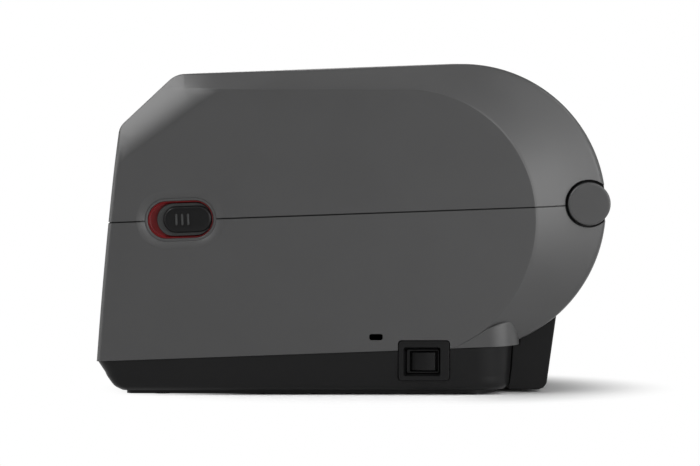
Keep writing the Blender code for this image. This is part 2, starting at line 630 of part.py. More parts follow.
def half_body():
    """The right half of the whole body as one open surface, which each shell takes its part of."""
    outline = body_outline()
    edge = panel_edge(outline)
    flare_start = next(i for i, p in enumerate(edge) if p[1] > FLARE_LOW_V)
    flare_end = next(i for i, p in enumerate(edge) if p[0] > FLARE_HIGH_U)
    bm = bmesh.new()
    columns = []
    for i, (point, kind) in enumerate(outline):
        inner = edge[i]
        if flare_start <= i < flare_end:
            share = (i - flare_start + HALF) / (flare_end - flare_start)
            inner = between(FLARE_LOW, FLARE_HIGH, share)
        column = []
        for x, (u, v) in side_rows(point, kind, edge[i], inner):
            spot = Vector((x, u, v))
            same = column and (column[-1].co - spot).length < WELD
            column.append(column[-1] if same else bm.verts.new(spot))
        columns.append(column)
    for left, right in zip(columns, columns[1:]):
        for k in range(len(left) - 1):
            corners = list(dict.fromkeys((left[k], left[k + 1], right[k + 1], right[k])))
            if len(corners) > 2:
                bm.faces.new(corners)
    bm.faces.new([column[-1] for column in columns])
    bmesh.ops.recalc_face_normals(bm, faces=bm.faces)
    panel = max(bm.faces, key=lambda face: face.calc_area())
    if panel.normal.x < 0:
        bmesh.ops.reverse_faces(bm, faces=bm.faces)
    return bm


def keep_above(bm, v):
    whole = bm.verts[:] + bm.edges[:] + bm.faces[:]
    bmesh.ops.bisect_plane(bm, geom=whole, plane_co=(0, 0, v), plane_no=(0, 0, 1), clear_inner=True)


def keep_below(bm, v):
    whole = bm.verts[:] + bm.edges[:] + bm.faces[:]
    bmesh.ops.bisect_plane(bm, geom=whole, plane_co=(0, 0, v), plane_no=(0, 0, 1), clear_outer=True)


def shell(name, bm, look):
    """Mirrors an open half surface and gives it the wall's thickness inward."""
    made = piece(name, mesh_from(bm), look)
    mirror = made.modifiers.new("both_sides", "MIRROR")
    mirror.merge_threshold = WELD
    wall = made.modifiers.new("wall", "SOLIDIFY")
    wall.thickness = WALL
    wall.offset = -1
    wall.use_even_offset = True
    wall.use_quality_normals = True
    made.modifiers.new("flat_faces", "TRIANGULATE")
    return made


def dish_tool(side):
    """The flared hollow round the latch: wide at the skin, the pocket's own outline at its depth."""
    bm = bmesh.new()
    wide = pill(DISH_LENGTH, DISH_HEIGHT)
    narrow = pill(POCKET_LENGTH + 2 * POCKET_GAP, POCKET_HEIGHT + 2 * POCKET_GAP)
    beyond = [between(n, w, 2) for n, w in zip(narrow, wide)]
    rings = []
    for outline, depth in ((narrow, DISH_DEPTH), (beyond, -DISH_DEPTH)):
        x = side * (HALF_WIDTH - depth)
        rings.append([bm.verts.new((x, LATCH_U + a, LATCH_V + b)) for a, b in outline])
    count = len(wide)
    for i in range(count):
        j = (i + 1) % count
        bm.faces.new((rings[0][i], rings[0][j], rings[1][j], rings[1][i]))
    bm.faces.new(rings[0])
    bm.faces.new(rings[1])
    bmesh.ops.recalc_face_normals(bm, faces=bm.faces)
    return tool(mesh_from(bm))


def pocket_tool(side):
    """The straight hole behind the dish, through the housing's wall."""
    hole = pill(POCKET_LENGTH + 2 * POCKET_GAP, POCKET_HEIGHT + 2 * POCKET_GAP)
    low, high = sorted((side * (HALF_WIDTH - WALL - OVERRUN), side * (HALF_WIDTH - DISH_DEPTH + WELD)))
    return tool(extruded([shifted(hole, LATCH_U, LATCH_V)], low, high))


def hinge_tools():
    """Room for the hinge: wide across the middle, close round the caps."""
    middle = rod(CAP_R + TAIL_GAP, -BRACKET_HIGH_X, BRACKET_HIGH_X, segments=40)
    ends = rod(CAP_R + CAP_GAP, -HALF_WIDTH - OVERRUN, HALF_WIDTH + OVERRUN, segments=40)
    return [tool(mesh, at=(0, HINGE_U, HINGE_V)) for mesh in (middle, ends)]


def cover_shell():
    bm = half_body()
    keep_above(bm, SEAM_GAP / 2)
    made = shell("cover_shell", bm, GREY)
    slot = box((-EXIT_HALF, EXIT_HALF), (FOOT_U, LIP_DEPTH), (-EXIT_HEIGHT, EXIT_HEIGHT))
    cut(made, tool(slot), *hinge_tools())
    cut(made, dish_tool(1), pocket_tool(1), dish_tool(-1), pocket_tool(-1))
    recess = rectangle((-PANEL_HALF - CLEAR, PANEL_HALF + CLEAR), panel_span(CLEAR), PANEL_CORNER)
    cut(made, tool(extruded([recess], -PANEL_T - CLEAR, OVERRUN, FROM_ABOVE), FACET))
    well = rod(FEED_R + CLEAR, -WALL - OVERRUN, OVERRUN, centre=(FEED_X, 0), axis="Z", segments=20)
    cut(made, tool(well, FACET))
    return made


def panel_span(extra=0):
    return -PANEL_HEIGHT / 2 - extra, PANEL_HEIGHT / 2 + extra


def ledge_curve(steps=8):
    """Top of the plinth corner: a soft S that rises out of the side towards the rear."""
    found = []
    for i in range(steps + 1):
        share = i / steps
        ease = share * share * (3 - 2 * share)
        u = LEDGE_LOW_U + (LEDGE_HIGH_U - LEDGE_LOW_U) * share
        found.append((u, LEDGE_LOW_V + (LEDGE_HIGH_V - LEDGE_LOW_V) * ease))
    return found


def plinth_tool():
    """The box-shaped foot of the lower housing, whose rounded rear corners stand out below the drum."""
    outer_x = HALF_WIDTH - PLINTH_SKIN
    centre = (outer_x - PLINTH_R, PLINTH_REAR_U - PLINTH_R)
    outer = [(outer_x, PLINTH_FRONT_U)] + arc(centre, PLINTH_R, 0, math.pi / 2, 6)
    inner = arc(centre, PLINTH_R - PLINTH_T, math.pi / 2, 0, 6) + [(outer_x - PLINTH_T, PLINTH_FRONT_U)]
    loop = outer + mirrored(outer) + mirrored(inner) + inner
    made = tool(extruded([loop], -LOWER_DEPTH + PLINTH_SKIN, LEDGE_HIGH_V + OVERRUN, FROM_ABOVE))
    above = [(PLINTH_FRONT_U - OVERRUN, LEDGE_LOW_V)] + ledge_curve()
    above += [(PLINTH_REAR_U + OVERRUN, LEDGE_HIGH_V), (PLINTH_REAR_U + OVERRUN, 0)]
    above += [(PLINTH_FRONT_U - OVERRUN, 0)]
    cut(made, tool(extruded([above], -HALF_WIDTH - OVERRUN, HALF_WIDTH + OVERRUN)))
    bay_x = BAY_HALF + CRADLE_T + CLEAR
    cut(made, tool(rod(CRADLE_R + CRADLE_T + CLEAR, -bay_x, bay_x, segments=60), at=(0, ROLL_U, ROLL_V)))
    return made


def lock_tool():
    outline = shifted(pill(LOCK_LENGTH, LOCK_HEIGHT, 4), *to_body(LOCK_Y, LOCK_Z))
    return tool(extruded([outline], HALF_WIDTH - WALL - OVERRUN, HALF_WIDTH + OVERRUN))


def switch_tool():
    outline = rectangle(
        (SWITCH_Y - SWITCH_W / 2 - CLEAR, SWITCH_Y + SWITCH_W / 2 + CLEAR),
        (SWITCH_Z - SWITCH_H / 2 - CLEAR, SWITCH_Z + SWITCH_H / 2 + CLEAR),
        SWITCH_CORNER,
    )
    return tool(extruded([outline], SWITCH_FACE_X - SWITCH_DEPTH - CLEAR, HALF_WIDTH + OVERRUN), None)


def lower_housing():
    bm = half_body()
    keep_below(bm, -SEAM_GAP / 2)
    keep_above(bm, -LOWER_DEPTH - OVERRUN)
    made = shell("lower_housing", bm, GREY)
    reach = HALF_WIDTH + OVERRUN
    below = box((-reach, reach), (FOOT_U - OVERRUN, HINGE_U), (-LOWER_DEPTH - 2 * WALL, -LOWER_DEPTH))
    cut(made, tool(below))
    join(made, plinth_tool())
    lip = box((-EXIT_HALF - CLEAR, EXIT_HALF + CLEAR), (FOOT_U, LIP_DEPTH), (-EXIT_DROP, EXIT_DROP))
    cut(made, tool(lip), *hinge_tools())
    cut(made, dish_tool(1), pocket_tool(1), dish_tool(-1), pocket_tool(-1))
    cut(made, lock_tool(), switch_tool())
    return made


def base_ring(half_x, front_y, rear_y, front_r, rear_r, height):
    """One level of the tray: a rectangle with its own front and rear corner radii."""
    steps = 5
    right = arc((half_x - front_r, front_y + front_r), front_r, -math.pi / 2, 0, steps)
    right += arc((half_x - rear_r, rear_y - rear_r), rear_r, 0, math.pi / 2, steps)
    return [(x, y, height(y)) for x, y in right + mirrored(right)]


def base_levels():
    half_x = BASE_TOP_HALF
    front = to_world(FOOT_U, -LOWER_DEPTH)[0] + BASE_FRONT_INSET
    rear = BASE_REAR_Y
    front_r, rear_r = BASE_FRONT_R, BASE_REAR_R
    yield base_ring(half_x, front, rear, front_r, rear_r, lambda y: lower_edge_z(y) + OVERRUN)
    steps = (
        (BASE_SHOULDER_Z, BASE_LEAN, BASE_FRONT_LEAN, BASE_REAR_LEAN),
        (BASE_KNEE_Z, BASE_KNEE, BASE_FRONT_KNEE, BASE_REAR_KNEE),
        (BASE_Z, BASE_TUCK, BASE_FRONT_TUCK, BASE_REAR_TUCK),
    )
    for height, side, ahead, behind in steps:
        half_x, front, rear = half_x - side, front + ahead, rear - behind
        front_r, rear_r = front_r - BASE_CORNER_LOSS, rear_r - BASE_CORNER_LOSS
        yield base_ring(half_x, front, rear, front_r, rear_r, lambda y, h=height: h)


def base_tray():
    bm = bmesh.new()
    rings = [[bm.verts.new(p) for p in level] for level in base_levels()]
    count = len(rings[0])
    for upper, lower in zip(rings, rings[1:]):
        for i in range(count):
            j = (i + 1) % count
            bm.faces.new((upper[i], lower[i], lower[j], upper[j]))
    bm.faces.new(rings[-1])
    bmesh.ops.triangulate(bm, faces=bm.faces)
    bmesh.ops.recalc_face_normals(bm, faces=bm.faces)
    floor = min(bm.faces, key=lambda face: face.calc_center_median().z)
    if floor.normal.z > 0:
        bmesh.ops.reverse_faces(bm, faces=bm.faces)
    made = piece("base_tray", mesh_from(bm), BLACK, None)
    wall = made.modifiers.new("wall", "SOLIDIFY")
    wall.thickness = BASE_WALL
    wall.offset = -1
    wall.use_even_offset = True
    reach = HALF_WIDTH + OVERRUN
    top = box((-reach, reach), (FOOT_U - OVERRUN, HINGE_U), (-LOWER_DEPTH - CLEAR, -LOWER_DEPTH + 3 * WALL))
    cut(made, tool(top), switch_tool())
    post_x = BOARD_HALF - BOARD_POST_INSET
    for x in (-post_x, post_x):
        for y in (BOARD_FRONT_Y + BOARD_POST_INSET, BOARD_REAR_Y - BOARD_POST_INSET):
            post = rod(BOARD_POST_R, BASE_Z + BASE_WALL / 2, BOARD_Z - CLEAR, centre=(x, y), axis="Z", segments=10)
            join(made, tool(post, None))
    return made


def feet():
    for side, x in (("left", -FOOT_X), ("right", FOOT_X)):
        for end, y in (("front", FOOT_FRONT_Y), ("rear", FOOT_REAR_Y)):
            mesh = rod(FOOT_LOW_R, 0, BASE_Z - CLEAR, FOOT_R, axis="Z", segments=20)
            piece(f"foot_{end}_{side}", mesh, RUBBER, None, (x, y, 0))


PORT_LEAN = math.atan2(PANEL_TOP_Y - PANEL_LOW_Y, PANEL_TOP_Z - PANEL_LOW_Z)
PORTS = (
    (NETWORK_X, NETWORK_W, NETWORK_H),
    (USB_X, USB_W, USB_H),
    (POWER_X, POWER_W, POWER_H),
)


def port_place(x):
    """Middle of a socket's mouth on the panel's leaning rear face."""
    share = (PORT_Z - PANEL_LOW_Z) / (PANEL_TOP_Z - PANEL_LOW_Z)
    return x, PANEL_LOW_Y + (PANEL_TOP_Y - PANEL_LOW_Y) * share, PORT_Z


def drum_underside(gap, first_y, last_y, steps=4):
    """Points just below the drum, between two places along the table."""
    centre = to_world(DRUM_U, DRUM_V)
    radius = DRUM_R + gap
    first = -math.acos((first_y - centre[0]) / radius)
    last = -math.acos((last_y - centre[0]) / radius)
    return arc(centre, radius, first, last, steps)


def plinth_rear_y():
    return to_world(PLINTH_REAR_U, -LOWER_DEPTH)[0]


def rear_panel():
    """The black block behind the base: its rear wall carries the sockets."""
    top = drum_underside(CLEAR, PANEL_TOP_Y, plinth_rear_y() + OVERRUN)
    step = [(plinth_rear_y() + OVERRUN, lower_edge_z(BASE_REAR_Y) - CLEAR), (PANEL_REST_Y, lower_edge_z(BASE_REAR_Y) - CLEAR)]
    foot = [(PANEL_REST_Y, PANEL_Z)]
    foot += fillet((PANEL_REST_Y, PANEL_Z), (PANEL_LOW_Y, PANEL_Z), (PANEL_LOW_Y, PANEL_LOW_Z), PANEL_TUCK - CLEAR)
    made = piece("rear_panel", extruded([top + step + foot], -PANEL_X, PANEL_X), BLACK, None)
    hollow = box(
        (-PANEL_X + PANEL_WALL, PANEL_X - PANEL_WALL),
        (PANEL_REST_Y - OVERRUN, PANEL_LOW_Y - PANEL_WALL),
        (PANEL_Z + PANEL_WALL, lower_edge_z(BASE_REAR_Y) - PANEL_WALL),
    )
    cut(made, tool(hollow, None))
    for x, width, height in PORTS:
        half_w, half_h = width / 2 + CLEAR, height / 2 + CLEAR
        hole = box((-half_w, half_w), (-PORT_DEPTH - CLEAR, OVERRUN), (-half_h, half_h))
        cut(made, tool(hole, None, port_place(x), -PORT_LEAN))
    return made


def socket(name, x, width, height, look):
    shape = box((-width / 2, width / 2), (-PORT_DEPTH, PORT_PROUD), (-height / 2, height / 2))
    return piece(name, shape, look, None, port_place(x), -PORT_LEAN)


def sockets():
    depth = (-PORT_DEPTH + PORT_WALL, OVERRUN)
    for name, x, width, height in (
        ("network_socket", NETWORK_X, NETWORK_W, NETWORK_H),
        ("usb_socket", USB_X, USB_W, USB_H),
    ):
        made = socket(name, x, width, height, ZINC)
        half_w, half_h = width / 2 - PORT_WALL, height / 2 - PORT_WALL
        cavity = box((-half_w, half_w), depth, (-half_h, half_h))
        cut(made, tool(cavity, None, port_place(x), -PORT_LEAN))
    made = socket("power_inlet", POWER_X, POWER_W, POWER_H, BLACK)
    bore = rod(POWER_BORE_R, *depth, axis="Y", segments=16)
    cut(made, tool(bore, None, port_place(POWER_X), -PORT_LEAN))
    pin = rod(POWER_PIN_R, -PORT_DEPTH + PORT_WALL / 2, -PORT_WALL, axis="Y", segments=8)
    join(made, tool(pin, None, port_place(POWER_X), -PORT_LEAN))


def main_board():
    top = BOARD_Z + BOARD_T
    shape = box((-BOARD_HALF, BOARD_HALF), (BOARD_FRONT_Y, BOARD_REAR_Y), (BOARD_Z, top))
    made = piece("main_board", shape, BOARD_GREEN, None)
    chip = box((-CHIP_W / 2, CHIP_W / 2), (-CHIP_W / 2, CHIP_W / 2), (top - BOARD_T / 2, top + CHIP_T))
    header_front = BOARD_FRONT_Y + HEADER_W
    header = box((-HEADER_L, 0), (header_front, header_front + HEADER_W), (top - BOARD_T / 2, top + HEADER_T))
    join(made, tool(chip, None), tool(header, None))


def switch():
    low, high = SWITCH_FACE_X - SWITCH_DEPTH, SWITCH_FACE_X
    outline = rectangle((-SWITCH_W / 2, SWITCH_W / 2), (-SWITCH_H / 2, SWITCH_H / 2), SWITCH_CORNER)
    frame = piece("switch_frame", extruded([outline], low, high), BLACK, None, (0, SWITCH_Y, SWITCH_Z))
    mouth = rectangle((-RECESS_W / 2, RECESS_W / 2), (-RECESS_H / 2, RECESS_H / 2), SWITCH_CORNER / 2)
    middle = (0, SWITCH_Y, SWITCH_Z - RECESS_DROP)
    cut(frame, tool(extruded([mouth], high - RECESS_DEPTH, high + OVERRUN), None, middle))
    seat_y, seat_z = BODY_W / 2 + CLEAR, BODY_H / 2 + CLEAR
    seat = box((low - OVERRUN, high - RECESS_DEPTH + OVERRUN), (-seat_y, seat_y), (-seat_z, seat_z))
    cut(frame, tool(seat, None, middle))
    face = high - RECESS_DEPTH + CLEAR
    shape = box((face - BODY_T, face), (-BODY_W / 2, BODY_W / 2), (-BODY_H / 2, BODY_H / 2))
    body = piece("switch_body", shape, BLACK, None, middle)
    window = box((face - WINDOW_DEPTH, face + OVERRUN), (-WINDOW_W / 2, WINDOW_W / 2), (-WINDOW_H / 2, WINDOW_H / 2))
    cut(body, tool(window, None, middle))
    rocker(face - ROCKER_MIDDLE)


def rocker(pivot_x):
    """The rocker tips about an upright axis; at rest its rear end is pressed in."""
    profile = [
        (-ROCKER_HALF, ROCKER_BACK),
        (-ROCKER_HALF * HALF, -ROCKER_BELLY),
        (ROCKER_HALF * HALF, -ROCKER_BELLY),
        (ROCKER_HALF, ROCKER_BACK),
        (ROCKER_HALF, ROCKER_END),
        (ROCKER_HALF * HALF, ROCKER_MIDDLE),
        (-ROCKER_HALF * HALF, ROCKER_MIDDLE),
        (-ROCKER_HALF, ROCKER_END),
    ]
    cos, sin = math.cos(ROCKER_THROW), math.sin(ROCKER_THROW)
    outline = [(-a * sin + b * cos, a * cos + b * sin) for a, b in profile]
    mesh = extruded([[(b, a) for b, a in outline]], -ROCKER_H / 2, ROCKER_H / 2, FROM_ABOVE)
    piece("power_rocker", mesh, BLACK, None, (pivot_x, SWITCH_Y, SWITCH_Z - RECESS_DROP))


def hinge():
    axis = (0, HINGE_U, HINGE_V)
    piece("hinge_pin", rod(PIN_R, -PIN_HALF, PIN_HALF, segments=16), STEEL, at=axis)
    skin = DRUM_R - WALL - CLEAR
    hole = arc((0, 0), PIN_R + CLEAR, 0, WHOLE_TURN, 16)[:-1]
    web = shifted(arc((DRUM_U, DRUM_V), skin, HINGE_WEB_LOW, HINGE_WEB_HIGH, 3), -HINGE_U, -HINGE_V)
    barrel = arc((0, 0), BARREL_R, math.radians(130), math.radians(60) + WHOLE_TURN, 24) + web
    piece("hinge_barrel", extruded([barrel, hole], -BARREL_HALF, BARREL_HALF), GREY, at=axis)
    leg = shifted(arc((DRUM_U, DRUM_V), skin, -BRACKET_WEB_HIGH, -HINGE_WEB_LOW, 3), -HINGE_U, -HINGE_V)
    eye = arc((0, 0), BARREL_R, math.radians(-60), math.radians(-135) + WHOLE_TURN, 24) + leg
    for name, side in (("left", -1), ("right", 1)):
        low, high = sorted((side * BRACKET_LOW_X, side * BRACKET_HIGH_X))
        piece(f"hinge_bracket_{name}", extruded([eye, hole], low, high), INNER, at=axis)
        face, inner = CAP_FACE_X, BRACKET_HIGH_X + CLEAR
        profile = [(0, face), (CAP_R - CAP_CHAMFER, face), (CAP_R, face - CAP_CHAMFER * HALF), (CAP_R, inner), (0, inner)]
        cap = turned(profile, 40)
        if side < 0:
            cap.transform(Matrix.Rotation(math.pi, 4, "Z"))
        piece(f"hinge_cap_{name}", cap, GREY, at=axis)


def latches():
    for name, side in (("left", -1), ("right", 1)):
        latch_liner(name, side)
        latch_slider(name, side)
        catch(name, side)


def across(side, first, second):
    """Low and high x of something between two depths on one side."""
    return sorted((side * first, side * second))


def latch_liner(name, side):
    place = (0, LATCH_U, LATCH_V)
    floor_x = HALF_WIDTH - LINER_FLOOR
    cup = pill(POCKET_LENGTH, POCKET_HEIGHT)
    inner = pill(POCKET_LENGTH - 2 * LINER_WALL, POCKET_HEIGHT - 2 * LINER_WALL)
    flange = pill(POCKET_LENGTH + 2 * LINER_FLANGE, POCKET_HEIGHT + 2 * LINER_FLANGE)
    low, high = across(side, floor_x - LINER_FLOOR_T, HALF_WIDTH - LINER_FACE)
    made = piece(f"latch_liner_{name}", extruded([cup], low, high), RED, at=place)
    back = HALF_WIDTH - WALL - CLEAR
    low, high = across(side, back - LINER_FLANGE_T, back)
    join(made, tool(extruded([flange], low, high), at=place))
    low, high = across(side, floor_x, HALF_WIDTH)
    cut(made, tool(extruded([inner], low, high), at=place))
    reach = STEM_W / 2 + CLEAR
    ahead = -STEM_BACK - STEM_W / 2 - LATCH_TRAVEL - CLEAR
    slot = box(across(side, floor_x - LINER_FLOOR_T - OVERRUN, HALF_WIDTH), (ahead, -STEM_BACK + reach), (-reach, reach))
    cut(made, tool(slot, at=place))


def latch_slider(name, side):
    """Slider plate with its raised button and ribs outside, and its stem and hook inside."""
    floor_x = HALF_WIDTH - LINER_FLOOR + CLEAR
    plate_x = floor_x + SLIDER_T
    face_x = plate_x + BUTTON_RISE
    place = (0, LATCH_U + SLIDER_REST, LATCH_V)
    mesh = extruded([pill(SLIDER_LENGTH, SLIDER_HEIGHT)], *across(side, floor_x, plate_x))
    made = piece(f"latch_slider_{name}", mesh, BLACK, at=place)
    button = shifted(pill(BUTTON_LENGTH, BUTTON_HEIGHT), BUTTON_BACK, 0)
    raised = tool(extruded([button], *across(side, plate_x - SLIDER_T * HALF, face_x)), at=place)
    raised_bevel = raised.modifiers.new("edge", "BEVEL")
    raised_bevel.width = RIB_W
    raised_bevel.segments = 2
    join(made, raised)
    for i in range(3):
        u = RIB_FIRST + i * RIB_PITCH
        rib = box(across(side, face_x - RIB_RISE, face_x + RIB_RISE), (u - RIB_W / 2, u + RIB_W / 2), (-RIB_HEIGHT / 2, RIB_HEIGHT / 2))
        join(made, tool(rib, at=place))
    middle = -STEM_BACK - SLIDER_REST
    inner_x = floor_x - LINER_FLOOR_T - CLEAR - HOOK_T - CLEAR
    stem = box(across(side, inner_x, floor_x + SLIDER_T * HALF), (middle - STEM_W / 2, middle + STEM_W / 2), (-STEM_W / 2, STEM_W / 2))
    join(made, tool(stem, at=place))
    nose = CATCH_U - CLEAR - LATCH_U - SLIDER_REST
    back, half = middle - STEM_W / 2 - CLEAR, STEM_W / 2 - CLEAR
    hook = [(back, -half), (nose, -half), (nose, HOOK_TOP), (nose - HOOK_LENGTH, HOOK_TOP), (nose - HOOK_LENGTH, half), (back, half)]
    join(made, tool(extruded([hook], *across(side, inner_x - CLEAR, inner_x + HOOK_T)), at=place))


def catch(name, side):
    wall_x = HALF_WIDTH - WALL - CLEAR
    outline = [
        (wall_x, CATCH_TOP),
        (wall_x, CATCH_V),
        (wall_x - CATCH_REACH, CATCH_V),
        (wall_x - CATCH_REACH, CATCH_V + 2 * CATCH_T),
        (wall_x - CATCH_T, CATCH_V + 2 * CATCH_T),
        (wall_x - CATCH_T, CATCH_TOP),
    ]
    if side < 0:
        outline = mirrored(outline)
    piece(f"cover_catch_{name}", extruded([outline], CATCH_U, CATCH_U + CATCH_W, FROM_FRONT), ZINC)


def control_panel():
    plate = rectangle((-PANEL_HALF, PANEL_HALF), panel_span(), PANEL_CORNER)
    key = shifted(arc((0, 0), FEED_R + CLEAR, 0, WHOLE_TURN, 20)[:-1], FEED_X, 0)
    light_y = (-LIGHT_HEIGHT / 2, LIGHT_HEIGHT / 2)
    light_x = (LIGHT_X - LIGHT_HALF, LIGHT_X + LIGHT_HALF)
    hole = rectangle((light_x[0] - CLEAR, light_x[1] + CLEAR), (light_y[0] - CLEAR, light_y[1] + CLEAR))
    piece("control_panel", extruded([plate, key, hole], -PANEL_T, 0, FROM_ABOVE), GLOSS, FACET)
    piece("status_light", box(light_x, light_y, (-PANEL_T, CLEAR)), LENS, FACET)
    flange_top = -WALL - CLEAR
    profile = [
        (0, FEED_RISE),
        (FEED_R - FEED_RISE, FEED_RISE),
        (FEED_R, FEED_RISE * HALF),
        (FEED_R, flange_top),
        (FEED_R + FEED_FLANGE, flange_top),
        (FEED_R + FEED_FLANGE, flange_top - FEED_FLANGE_T),
        (0, flange_top - FEED_FLANGE_T),
    ]
    cap = turned(profile, 20)
    cap.transform(Matrix.Rotation(-math.pi / 2, 4, "Y"))
    piece("feed_button", cap, GREY, FACET, (FEED_X, 0, 0))


def deck_outline(half_x, rear_x):
    right = [(half_x, DECK_FRONT_U), (half_x, DECK_TAPER_U), (rear_x, DECK_REAR_U)]
    return right + mirrored(right)


def cradle_outline():
    """Side view of the roll cradle: an arc under the roll with an upright rear wall."""
    centre = (ROLL_U, ROLL_V)
    inner = arc(centre, CRADLE_R, CRADLE_START, CRADLE_END, 14)
    outer = arc(centre, CRADLE_R + CRADLE_T, CRADLE_END, CRADLE_START, 14)
    top = DECK_TOP - DECK_T * HALF
    return [(BAY_REAR_U, top)] + inner + outer + [(BAY_REAR_U + CRADLE_T, top)]


def bay_side_outline():
    centre = (ROLL_U, ROLL_V)
    outer = arc(centre, CRADLE_R + CRADLE_T * HALF, CRADLE_START, CRADLE_END, 14)
    top = DECK_TOP - DECK_T / 3
    return [(BAY_REAR_U + CRADLE_T / 3, top)] + outer + [(outer[-1][0], top)]


def rim_outline():
    """Seen from above: the raised rim behind the parting line on the right-hand side."""
    front = DECK_FRONT_U + RIM_T * HALF
    return [
        (RIM_FRONT_X, front),
        (RIM_X, front),
        (RIM_X, DECK_TAPER_U),
        (DECK_REAR_X - CLEAR, DECK_REAR_U - CLEAR),
        (DECK_REAR_X - CLEAR - RIM_T, DECK_REAR_U - CLEAR),
        (RIM_X - RIM_T, DECK_TAPER_U - CLEAR),
        (RIM_X - RIM_T, front + RIM_T),
        (RIM_FRONT_X, front + RIM_T),
    ]


def deck_cutters(low, high):
    """Openings in the deck: roll bay, platen well, drive, sensor slot and latch wells."""
    edge = CRADLE_T * HALF
    bay_u = (ROLL_U - CRADLE_R - edge, BAY_REAR_U + edge)
    yield box((-BAY_HALF - edge, BAY_HALF + edge), bay_u, (low, high))
    yield box((-WELL_LEFT, WELL_RIGHT), (0, WELL_REAR), (low, high))
    rear = MOTOR_U + MOTOR_SIDE / 2 + MOTOR_PLATE_EDGE + CLEAR
    yield box((-WELL_LEFT, -FRAME_X + CLEAR), (WELL_REAR - OVERRUN, rear), (low, high))
    ear_x = (FRAME_X - CLEAR, FRAME_X + SHEET + CLEAR)
    yield box(ear_x, (WELL_REAR - OVERRUN, EAR_REAR_U + CLEAR), (low, high))
    reach = SENSOR_TRAVEL + SENSOR_W / 2 + CLEAR
    half_d = SENSOR_D / 2 + CLEAR
    yield box((-reach, reach), (SENSOR_U - half_d, SENSOR_U + half_d), (low, high))


def media_bay():
    low = DECK_TOP - DECK_T
    made = piece("media_bay", extruded([deck_outline(DECK_HALF, DECK_REAR_X)], low, DECK_TOP, FROM_ABOVE), INNER)
    over, under = DECK_TOP + OVERRUN, low - OVERRUN
    cut(made, *(tool(mesh) for mesh in deck_cutters(under, over)))
    wall_x = BAY_HALF + CRADLE_T
    join(made, tool(extruded([cradle_outline()], -wall_x + CLEAR, wall_x - CLEAR)))
    for side in (-1, 1):
        join(made, tool(extruded([bay_side_outline()], *across(side, BAY_HALF, wall_x))))
        rim = rim_outline() if side > 0 else mirrored(rim_outline())
        join(made, tool(extruded([rim], DECK_TOP - DECK_T * HALF, RIM_RISE, FROM_ABOVE)))
        well_x = across(side, LATCH_WELL_X, DECK_HALF + OVERRUN)
        cut(made, tool(box(well_x, (LATCH_WELL_LOW, LATCH_WELL_HIGH), (under, RIM_RISE + OVERRUN))))
    for side in (-1, 1):
        leg_u = rack_back(side)
        slot_u = sorted((leg_u - side * CLEAR, leg_u + side * (RACK_BACK + CLEAR)))
        slot = box(across(side, SLOT_START, GUIDE_X + LEG_T + CLEAR), slot_u, (RACK_LOW, GUIDE_FOOT_V))
        cut(made, tool(slot))
    return made


def tooth_points(teeth, phase):
    """Outline of a spur gear with straight-flanked teeth and a little backlash."""
    pitch_r = MODULE * teeth / 2
    root, tip = pitch_r - 1.2 * MODULE, pitch_r + 0.9 * MODULE
    wide, narrow = 0.56 * math.pi / teeth, 0.24 * math.pi / teeth
    found = []
    for i in range(teeth):
        middle = phase + WHOLE_TURN * i / teeth
        for radius, angle in ((root, -wide), (tip, -narrow), (tip, narrow), (root, wide)):
            found.append((radius * math.cos(middle + angle), radius * math.sin(middle + angle)))
    return found


def bore(radius, steps=12):
    return arc((0, 0), radius, 0, WHOLE_TURN, steps)[:-1]


def meshed_phase(first, first_teeth, first_phase, second, second_teeth):
    """Phase that puts a gap of the second gear on the tooth of the first where they meet."""
    toward = math.atan2(second[1] - first[1], second[0] - first[0])
    return toward + math.pi + math.pi / second_teeth + (toward - first_phase) * first_teeth / second_teeth


def rack_back(side):
    """Rearmost or foremost face of a rack: the left guide's rack lies behind the pinion."""
    pitch_r = MODULE * PINION_TEETH / 2
    return ROLL_U + side * (-pitch_r - 1.2 * MODULE - RACK_BACK)


def rack_outline(side, end_x, start_x):
    """Seen from above: a rack whose teeth face the pinion, with a gap at the middle plane."""
    pitch_r = MODULE * PINION_TEETH / 2
    pitch = math.pi * MODULE
    root = pitch_r + 1.2 * MODULE
    tip = pitch_r - 0.9 * MODULE
    count = int((start_x - end_x) / pitch)
    back = root + RACK_BACK
    points = [(start_x, -back), (start_x, -root)]
    x = (math.floor(start_x / pitch) - HALF) * pitch
    for _ in range(count):
        points += [(x + 0.28 * pitch, -root), (x + 0.12 * pitch, -tip), (x - 0.12 * pitch, -tip), (x - 0.28 * pitch, -root)]
        x -= pitch
    points += [(end_x, -root), (end_x, -back)]
    return [(side * x, ROLL_U + side * u) for x, u in points]


def roll_guides():
    for name, side in (("left", -1), ("right", 1)):
        roll_guide(name, side)
    mesh = extruded([tooth_points(PINION_TEETH, 0), bore(PINION_PIN_R + CLEAR)], 0, RACK_T, FROM_ABOVE)
    piece("guide_pinion", mesh, GEAR_WHITE, at=(0, ROLL_U, RACK_LOW))


def guide_outline(side):
    """Side view of a roll guide: an eye on the roll's axis, a foot over its rack and a fence ahead."""
    foot = abs(ROLL_U - rack_back(side))
    eye = arc((0, 0), GUIDE_R, math.pi * 5 / 6, -math.pi / 6, 10)
    fence = FENCE_U - ROLL_U
    low, top = FENCE_LOW - ROLL_V, FENCE_TOP - ROLL_V
    front = -foot if side > 0 else foot - GUIDE_FOOT_W
    points = [(fence, low), (fence, top), (eye[0][0], top)] + eye
    points += [(front + GUIDE_FOOT_W, GUIDE_FOOT_V - ROLL_V), (front, GUIDE_FOOT_V - ROLL_V)]
    points += [(-GUIDE_R, low)]
    return [(ROLL_U + a, ROLL_V + b) for a, b in points]


